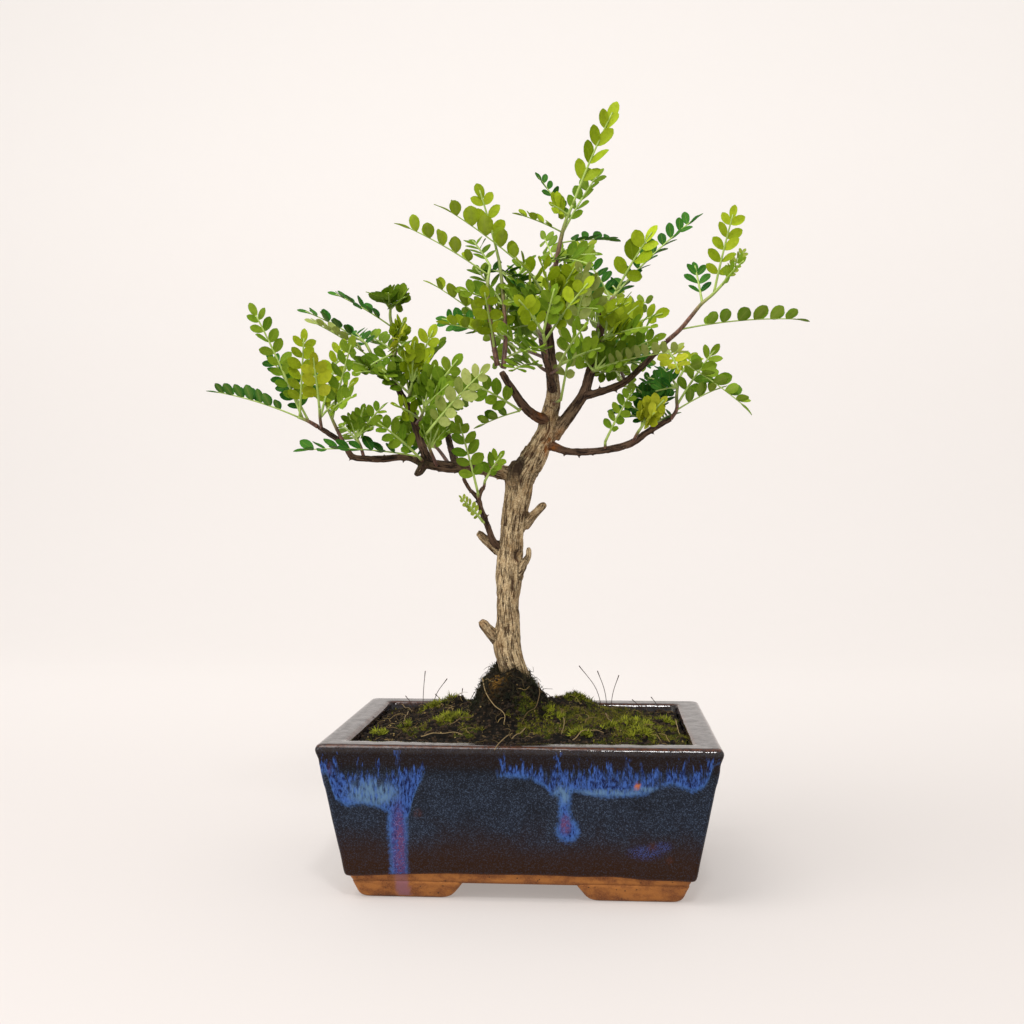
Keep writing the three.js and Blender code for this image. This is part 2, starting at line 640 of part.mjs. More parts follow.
function makeSoil() {
  const topInset = POT.lip + POT.wallTaper * (POT.height - SOIL.edge) / (POT.height - FLOOR_TOP) + GAP;
  const bottomInset = POT.lip + POT.wallTaper + GAP;
  const core = (side) => {
    const angle = side / SOIL.sides * 2 * Math.PI;
    return new THREE.Vector3(SOIL.moundX + SOIL.core * Math.cos(angle), SOIL.core * Math.sin(angle), 0);
  };
  const body = solid(shapedCylinder(SOIL.sides, SOIL.rings + 1, (side, level, onAxis) => {
    if (level === 0) {
      const low = onAxis ? new THREE.Vector3() : soilRim(side, bottomInset);
      return low.setZ(FLOOR_TOP + GAP);
    }
    const share = (level - 1) / SOIL.rings;
    const point = onAxis
      ? new THREE.Vector3(SOIL.moundX, 0, 0)
      : soilRim(side, topInset).lerp(core(side), share);
    return point.setZ(soilHeight(point.x, point.y));
  }));
  const recesses = [-1, 1].map((along) => boxAt(
    along * DRAIN.offset,
    0,
    FLOOR_TOP,
    FLOOR_TOP + SCREEN.thickness + 2 * GAP,
    SCREEN.size + 2 * GAP,
    SCREEN.size + 2 * GAP,
  ));
  return body.subtract(Manifold.union(recesses)).translate(POT_PLACE).subtract(trunkOf(GAP));
}

const smoothPath = (points) => new THREE.CatmullRomCurve3(points, false, 'catmullrom', 0.5);

// A round limb through points whose fourth number is the radius, fatter by extra
function limb(points, sides, levels, extra = 0) {
  const path = smoothPath(points.map(vector));
  const radii = smoothPath(points.map((point) => new THREE.Vector3(point[3], 0, 0)));
  const tangents = [];
  for (let level = 0; level <= levels; level += 1) tangents.push(path.getTangent(level / levels));
  const normals = [new THREE.Vector3(0, 1, 0)];
  for (let level = 0; level <= levels; level += 1) {
    const previous = normals[level];
    const along = previous.dot(tangents[level]);
    normals.push(previous.clone().addScaledVector(tangents[level], -along).normalize());
  }
  return solid(shapedCylinder(sides, levels, (side, level, onAxis) => {
    const t = level / levels;
    const centre = path.getPoint(t);
    if (level === 0) centre.addScaledVector(tangents[level], -extra);
    if (level === levels) centre.addScaledVector(tangents[level], extra);
    if (onAxis) return centre;
    const angle = side / sides * 2 * Math.PI;
    const across = normals[level + 1];
    const around = tangents[level].clone().cross(across);
    const radius = radii.getPoint(t).x + extra / Math.cos(Math.PI / sides);
    return centre
      .addScaledVector(across, radius * Math.cos(angle))
      .addScaledVector(around, radius * Math.sin(angle));
  }));
}

function trunkOf(extra) {
  return limb(LIMBS.trunk, LIMB.trunkSides, LIMB.trunkLevels, extra);
}

function makeWood(extra) {
  const { trunk, ...branches } = LIMBS;
  const limbs = Object.values(branches).map((points) => {
    const sides = points[0][3] > LIMB.thick ? LIMB.thickSides : LIMB.thinSides;
    const levels = Math.max(FEWEST_LEVELS, Math.round(points.length * LIMB.levelShare));
    return limb(points, sides, levels, extra);
  });
  return Manifold.union([trunkOf(extra), ...limbs]);
}

// A thin closed plate, gathered face by face on its upper side
class Plate {
  points = [];

  shifts = [];

  faces = [];

  // shift leads from the plate's middle to its upper side
  add(point, shift) {
    this.points.push(point);
    this.shifts.push(shift);
    return this.points.length - 1;
  }

  // Faces from the rim's middle corner to all its edges
  fan(rim, turned) {
    const hub = rim[Math.floor(rim.length / 2)];
    rim.forEach((corner, i) => {
      const next = rim[(i + 1) % rim.length];
      if (corner === hub || next === hub) return;
      this.faces.push(turned ? [hub, next, corner] : [hub, corner, next]);
    });
  }

  // The same faces turned over below, and the edge all round
  solid() {
    const count = this.points.length;
    const above = this.points.map((point, i) => point.clone().add(this.shifts[i]));
    const below = this.points.map((point, i) => point.clone().sub(this.shifts[i]));
    const edges = new Set(this.faces.flatMap(([a, b, c]) => [`${a},${b}`, `${b},${c}`, `${c},${a}`]));
    const triangles = this.faces.flatMap(([a, b, c]) => [a, b, c, a + count, c + count, b + count]);
    edges.forEach((edge) => {
      const [a, b] = edge.split(',').map(Number);
      if (!edges.has(`${b},${a}`)) triangles.push(a, a + count, b + count, a, b + count, b);
    });
    const geometry = new THREE.BufferGeometry();
    const positions = [...above, ...below].flatMap((point) => point.toArray());
    geometry.setAttribute('position', new THREE.Float32BufferAttribute(positions, 3));
    geometry.setIndex(triangles);
    return solid(geometry);
  }
}

const blend = (a, shareA, b, shareB) => a.clone().multiplyScalar(shareA).addScaledVector(b, shareB);

// Where a frond springs, the way it goes and the frame that its leaflets are set in
function frondFrame(root, entry, turn, index) {
  const [, x, y, z, face, , leaflet] = entry;
  const [dy, dz, dx] = turn;
  const tip = new THREE.Vector3(x + dx, y + dy, z + dz);
  const chord = tip.clone().sub(root);
  const length = chord.length();
  const along = chord.clone().normalize();
  const lift = UP.clone().addScaledVector(along, -UP.dot(along)).multiplyScalar(FROND.arch * length);
  const middle = root.clone().add(tip).multiplyScalar(0.5).add(lift);
  const path = new THREE.QuadraticBezierCurve3(root, middle, tip);
  const roll = (draw(index) - 0.5) * 2 * FROND.roll;
  const facing = vector(FACES[face].normal).applyAxisAngle(along, roll);
  return { path, facing, length, fold: FACES[face].fold, leaflet };
}

// A station of the rib: its frame and, left and right, the rib's edge and the way leaflets leave it
function ribStation(plate, { path, facing, fold }, t, isFoot) {
  const half = FROND.thickness / 2;
  const centre = path.getPoint(t);
  const tangent = path.getTangent(t);
  const normal = facing.clone().addScaledVector(tangent, -facing.dot(tangent)).normalize();
  const side = normal.clone().cross(tangent);
  const reach = isFoot ? FROND.footHalfWidth : FROND.ribHalfWidth;
  const sides = [1, -1].map((sign) => {
    const outward = blend(side, sign * Math.cos(fold), normal, Math.sin(fold));
    const leafNormal = blend(normal, Math.cos(fold), side, -sign * Math.sin(fold));
    const mitre = normal.clone().add(leafNormal).normalize().multiplyScalar(half / Math.cos(fold / 2));
    const edge = centre.clone().addScaledVector(side, sign * reach);
    return { outward, leafNormal, id: plate.add(edge, isFoot ? normal.clone().multiplyScalar(half) : mitre) };
  });
  return { centre, tangent, normal, side, sides };
}

// One leaflet between two stations, cut to the rib
function addLeaflet(plate, from, to, hand, reach, isRound) {
  const spacing = from.centre.distanceTo(to.centre);
  const middle = from.centre.clone().lerp(to.centre, 0.5);
  const width = Math.min(LEAFLET.fill * spacing * Math.cos(FROND.lean), LEAFLET.widest * reach);
  const { outward, leafNormal, id } = from.sides[hand];
  const axis = blend(outward, Math.cos(FROND.lean), from.tangent, Math.sin(FROND.lean));
  const across = blend(from.tangent, Math.cos(FROND.lean), outward, -Math.sin(FROND.lean));
  const shift = leafNormal.clone().multiplyScalar(FROND.thickness / 2);
  const rim = (isRound ? ROUND_RIM : PLAIN_RIM).map(([out, over]) => (
    plate.add(middle.clone().add(blend(axis, reach * out, across, width * over)), shift)
  ));
  plate.fan([id, ...rim, to.sides[hand].id], hand === 0);
}

// The frond as one thin arched blade, with or without the bare foot of its rib
function frondBlade(frond, index, hasFoot = true) {
  const { length, leaflet } = frond;
  const pairs = clamp(Math.round(length / FROND.pairSpacing), FROND.fewestPairs, FROND.mostPairs);
  const isRound = pairs === FROND.mostPairs || leaflet > LEAFLET.large;
  const plate = new Plate();
  const stations = Array.from({ length: pairs + 1 }, (_, k) => {
    const t = FROND.stalk + (1 - FROND.stalk - FROND.last) * k / pairs;
    return ribStation(plate, frond, t, false);
  });
  stations.slice(0, pairs).forEach((from, k) => {
    const grown = LEAFLET.atEnds + LEAFLET.swell * Math.sin(Math.PI * (k + LEAFLET.skew) / pairs);
    [0, 1].forEach((hand) => {
      const vary = 1 + (draw(index * DRAWS_PER_FROND + k * 2 + hand) - 0.5) * LEAFLET.vary;
      addLeaflet(plate, from, stations[k + 1], hand, leaflet * grown * vary, isRound);
    });
  });
  const ribs = hasFoot ? [ribStation(plate, frond, 0, true), ...stations] : stations;
  ribs.slice(1).forEach((to, k) => {
    const [left, right] = ribs[k].sides;
    const [nextLeft, nextRight] = to.sides;
    plate.faces.push([right.id, nextRight.id, nextLeft.id], [right.id, nextLeft.id, left.id]);
  });
  const end = stations[pairs];
  const [endLeft, endRight] = end.sides;
  const lastReach = Math.max(leaflet, length * FROND.last);
  const lastShift = end.normal.clone().multiplyScalar(FROND.thickness / 2);
  const lastRim = LAST_RIM.map(([out, over]) => {
    const offset = blend(end.tangent, lastReach * out, end.side, lastReach * over);
    return plate.add(end.centre.clone().add(offset), lastShift);
  });
  plate.fan([endLeft.id, ...lastRim, endRight.id], true);
  return plate.solid();
}

function makeShoot({ stem, radius }) {
  const last = stem.length - 1;
  const points = stem.map((point, i) => [...point, radius + (SHOOT.tipRadius - radius) * i / last]);
  const sides = radius > SHOOT.thick ? SHOOT.thickSides : SHOOT.thinSides;
  return limb(points, sides, Math.max(FEWEST_LEVELS, last));
}

const CLEARANCE = 1.1 * GAP;
const isClear = (shape, others) => others.every((other) => shape.minGap(other, 2 * CLEARANCE) > CLEARANCE);

// All sprays, each frond turned until it is clear of the wood, the shoots and the fronds before it,
// and of its own spray's fronds too where it can be
function makeSprays(wood, thickWood) {
  const sprays = Object.values(SPRAYS);
  const shoots = sprays.map(makeShoot);
  const placed = sprays.map(() => []);
  let index = 0;
  sprays.forEach((spray, own) => {
    const path = smoothPath(spray.stem.map(vector));
    const isOther = (item, i) => i !== own;
    spray.fronds.forEach((entry) => {
      index += 1;
      const others = [wood, ...shoots.filter(isOther), ...placed.filter(isOther).flat()];
      const frames = TURNS.map((turn) => frondFrame(path.getPoint(entry[0]), entry, turn, index));
      const fits = (frame, list) => isClear(frondBlade(frame, index, false), list);
      const frame = frames.find((each) => fits(each, [...others, ...placed[own]]))
        ?? frames.find((each) => fits(each, others));
      placed[own].push(frondBlade(frame, index));
    });
  });
  return Object.keys(SPRAYS).map((name, own) => {
    const whole = Manifold.union([shoots[own], ...placed[own]]).subtract(thickWood);
    const [shape] = whole.decompose().sort((a, b) => b.volume() - a.volume());
    return { name, tone: SPRAYS[name].fronds[0][5], shape };
  });
}

const glaze = new THREE.MeshStandardMaterial({ color: '#23253a', roughness: 0.2, metalness: 0 });
const netting = new THREE.MeshStandardMaterial({ color: '#2b2b2b', roughness: 0.7, metalness: 0 });
const compost = new THREE.MeshStandardMaterial({ color: '#332c1f', roughness: 0.95, metalness: 0 });
const bark = new THREE.MeshStandardMaterial({ color: '#7d6b52', roughness: 0.85, metalness: 0 });

const bonsai = new THREE.Group();
const wood = makeWood(0);
const thickWood = makeWood(GAP);
bonsai.add(meshOf('pot', makePot().translate(POT_PLACE), glaze));
bonsai.add(meshOf('drain_screen_left', makeScreen(-DRAIN.offset).translate(POT_PLACE), netting));
bonsai.add(meshOf('drain_screen_right', makeScreen(DRAIN.offset).translate(POT_PLACE), netting.clone()));
bonsai.add(meshOf('soil', makeSoil(), compost));
bonsai.add(meshOf('tree', wood, bark));
makeSprays(wood, thickWood).forEach(({ name, tone, shape }) => {
  const leaf = new THREE.MeshStandardMaterial({ color: TONES[tone], roughness: 0.5, metalness: 0 });
  bonsai.add(meshOf(`spray_${name}`, shape, leaf));
});

// The origin is under the middle of the whole object
const bounds = new THREE.Box3().setFromObject(bonsai);
const centre = bounds.getCenter(new THREE.Vector3());
bonsai.position.set(-centre.x, -centre.y, -bounds.min.z);

export default bonsai;
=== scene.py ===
"""A chinese pepper bonsai in its glazed tray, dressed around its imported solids.

Lengths in the tables are millimetres, with +X to the viewer's right, +Z up and -Y towards the
viewer. The limbs and leaves are in the tree's frame. The tray and its ground are in their own,
which has its origin on the table under the tray's middle.
"""

import json
import math
from itertools import product

import bpy
import numpy as np
from mathutils import Matrix, Vector, kdtree
from mathutils.geometry import tessellate_polygon


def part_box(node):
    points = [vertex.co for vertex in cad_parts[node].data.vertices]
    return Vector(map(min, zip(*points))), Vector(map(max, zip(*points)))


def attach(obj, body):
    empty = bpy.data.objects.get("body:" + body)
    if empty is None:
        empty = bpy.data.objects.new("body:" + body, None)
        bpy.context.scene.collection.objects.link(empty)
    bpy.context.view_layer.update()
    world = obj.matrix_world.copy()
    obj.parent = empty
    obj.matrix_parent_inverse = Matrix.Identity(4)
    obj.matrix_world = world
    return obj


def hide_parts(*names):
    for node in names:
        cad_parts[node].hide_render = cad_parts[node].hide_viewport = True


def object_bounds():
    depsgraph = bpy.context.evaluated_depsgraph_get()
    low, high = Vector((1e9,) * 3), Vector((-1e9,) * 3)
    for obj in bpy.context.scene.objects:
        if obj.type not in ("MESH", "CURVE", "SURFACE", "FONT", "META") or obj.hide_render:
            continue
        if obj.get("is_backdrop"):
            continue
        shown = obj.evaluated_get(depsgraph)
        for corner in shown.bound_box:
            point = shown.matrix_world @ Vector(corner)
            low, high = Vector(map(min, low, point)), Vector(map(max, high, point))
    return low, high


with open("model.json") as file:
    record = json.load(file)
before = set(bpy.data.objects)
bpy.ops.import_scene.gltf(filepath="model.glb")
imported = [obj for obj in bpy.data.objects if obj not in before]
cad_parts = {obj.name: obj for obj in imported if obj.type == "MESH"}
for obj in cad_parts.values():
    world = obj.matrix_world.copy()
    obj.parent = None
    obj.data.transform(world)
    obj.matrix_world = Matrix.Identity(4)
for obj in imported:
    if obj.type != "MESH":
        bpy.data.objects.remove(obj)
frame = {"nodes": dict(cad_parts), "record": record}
cad_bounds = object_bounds()

MM = 0.001
# Where the middle of the tray's foot stands in the tree's frame, as the solids have it
TRAY_PLACE = np.array((-0.7, 0.0, -2.2))
POT_LOW, POT_HIGH = (np.array(corner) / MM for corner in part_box("pot"))
ORIGIN = np.array([*(POT_LOW + POT_HIGH)[:2] / 2, 0.0]) - TRAY_PLACE

# The tray, as its solid is made
TRAY = dict(half_length=101.5, half_width=80.0, body_bottom=9.0, lip=14.5, floor_top=17.0,
            inner_radius=4.0, corner_radius=2.6)
FOOT = dict(half_length=29.4, half_width=20.5, inset=15.1, slant_end=3.9, slant_front=4.7,
            slant_inner=7.4, radius=4.0, top=10.0)
DRAIN = dict(offset=40.0, radius=8.0, sides=24)
SOIL = dict(edge=77.5, dome=9.0, mound=23.0, mound_x=-11.0, plateau=0.25, left=24.0, right=30.0,
            front=36.0, back=30.0, bump=0.9, reach_x=87.0, reach_y=65.5)
# A frond: shares of its length that are bare stalk and last leaflet, its arch and roll
FROND = dict(stalk=0.14, last=0.12, arch=0.07, roll=0.25, half_thickness=0.31)
# How a frond lies: the way its upper face looks, and how far its leaflets fold up from flat
FACES = {
    "front": ((0, -1, 0.4), 0.4),
    "back": ((0, 1, 0.4), 0.4),
    "up": ((0, -0.3, 1), 0.45),
    "raised": ((0, -0.15, 1), 1.05),
}
# Woody limbs as points (x, y, z, radius), from where each leaves its parent
LIMBS = {
    "trunk": [(-6, 0, 71, 9.2), (-6, 0, 90, 8.6), (-7.2, 0, 105, 7.8), (-10.6, 0, 117, 7.8),
        (-11.4, 0, 125, 7.7), (-11, 0, 132, 6.9), (-11, 0, 146, 6.7), (-10, 0, 158, 7.3),
        (-10, 0, 171, 7), (-8, 0, 190, 7.2), (-5, 0, 205, 7.9), (-4, 0, 214, 8.2), (1, 0, 222, 7.4),
        (6, 0, 231, 6.7), (11, 0, 240, 6.2), (12, 0, 250, 5.6)],
    "leader": [(12, 0, 247, 5.2), (14, 0, 257, 4.4), (14, 0, 269, 3.8), (13, 1, 280, 3.2),
        (12, 2, 292, 2.7), (11, 3, 303, 2.2), (12, 4, 314, 1.8)],
    "right": [(14, 0, 237, 4.4), (21, -2, 246, 3.6), (28, -4, 255, 3.3), (32, -5, 262, 3),
        (35, -6, 273, 2.8), (38, -6, 285, 2.6), (41, -5, 298, 2.3), (43, -4, 309, 2)],
    "right_long": [(31, -5, 259, 2.5), (40, -8, 261, 2.2), (47, -10, 263, 2), (54, -12, 266, 1.9),
        (62, -14, 273, 1.8), (70, -16, 281, 1.6), (76, -18, 287, 1.4)],
    "right_low": [(13, -2, 232, 2.8), (21, -8, 229, 2.3), (28, -12, 228, 2.1), (36, -15, 228, 2),
        (45, -17, 229, 2), (54, -19, 231, 2), (60, -20, 234, 1.9), (67, -21, 239, 1.8),
        (78, -22, 245, 1.4)],
    "left_upper": [(12, -2, 246, 3.2), (7, -6, 247, 2.9), (2, -9, 250, 2.7), (-2, -13, 254, 2.5),
        (-6, -17, 260, 2.3), (-10, -20, 266, 2.1), (-13, -22, 271, 1.8)],
    "left_main": [(-6, 0, 215, 5), (-15, -3, 218, 4.2), (-23, -7, 219, 3.8), (-34, -12, 220, 3.4),
        (-44, -17, 220, 3.2), (-57, -22, 222, 2.6)],
    "left_rising": [(-52, -20, 221, 2.8), (-56, -19, 230, 2.5), (-59, -18, 239, 2.4),
        (-62, -16, 248, 2.3), (-66, -15, 255, 2.2), (-70, -14, 262, 2), (-73, -14, 269, 1.7)],
    "left_reaching": [(-55, -21, 222, 2.6), (-65, -22, 225, 2.1), (-76, -24, 224, 2),
        (-85, -26, 224, 1.9), (-93, -28, 225, 1.9), (-96, -30, 230, 1.7), (-100, -31, 234, 1.6),
        (-111, -32, 241, 1.3)],
    "left_small": [(-16, -2, 176, 2.4), (-19, -6, 180, 2), (-22, -10, 189, 1.8), (-25, -12, 197, 1.6),
        (-26, -14, 202, 1.4), (-31, -16, 208, 1.2), (-34, -19, 214, 1.1)],
    "left_small_fork": [(-26, -14, 202, 1.4), (-25, -14, 206, 1.3), (-23, -14, 209, 1.3)],
    "fork_stump": [(-6, -3, 211, 5.2), (-6, -4, 217, 5), (-4, -4, 223, 4.6)],
    "shoulder_stump": [(2, 0, 216, 5.4), (0, 0, 224, 4.4), (-1, 0, 230, 3.6)],
    "stub_left": [(-16, 0, 174, 3.2), (-22, -2, 179, 2.9), (-28, -3, 184, 2.5)],
    "stub_right": [(-2, 0, 187, 3), (4, -2, 194, 2.7), (10, -3, 200, 2.5)],
    "stub_knee": [(-6, -1, 160, 4.2), (-2, -3, 166, 2.6), (0.6, -4, 171, 1.9), (0.8, -4, 176, 1.6)],
    "stub_low": [(-15, 0, 122, 3.6), (-21, -3, 129, 3.1), (-26, -4, 135, 2.6)],
    "burl": [(-55, -22, 221, 2.6), (-57, -25, 217, 2.2), (-59, -27, 215, 1.2)],
    "front": [(14, 0, 262, 2.6), (13, -20, 270, 2.2), (12, -38, 276, 1.6)],
    "back_left": [(-38, -13, 220, 2.4), (-45, 15, 233, 2), (-50, 36, 246, 1.5)],
    "back_middle": [(14, 0, 271, 2.6), (9, 27, 284, 2.1), (5, 50, 297, 1.5)],
    "back_right": [(34, -5, 270, 2.4), (39, 24, 285, 2), (44, 46, 296, 1.5)],
}

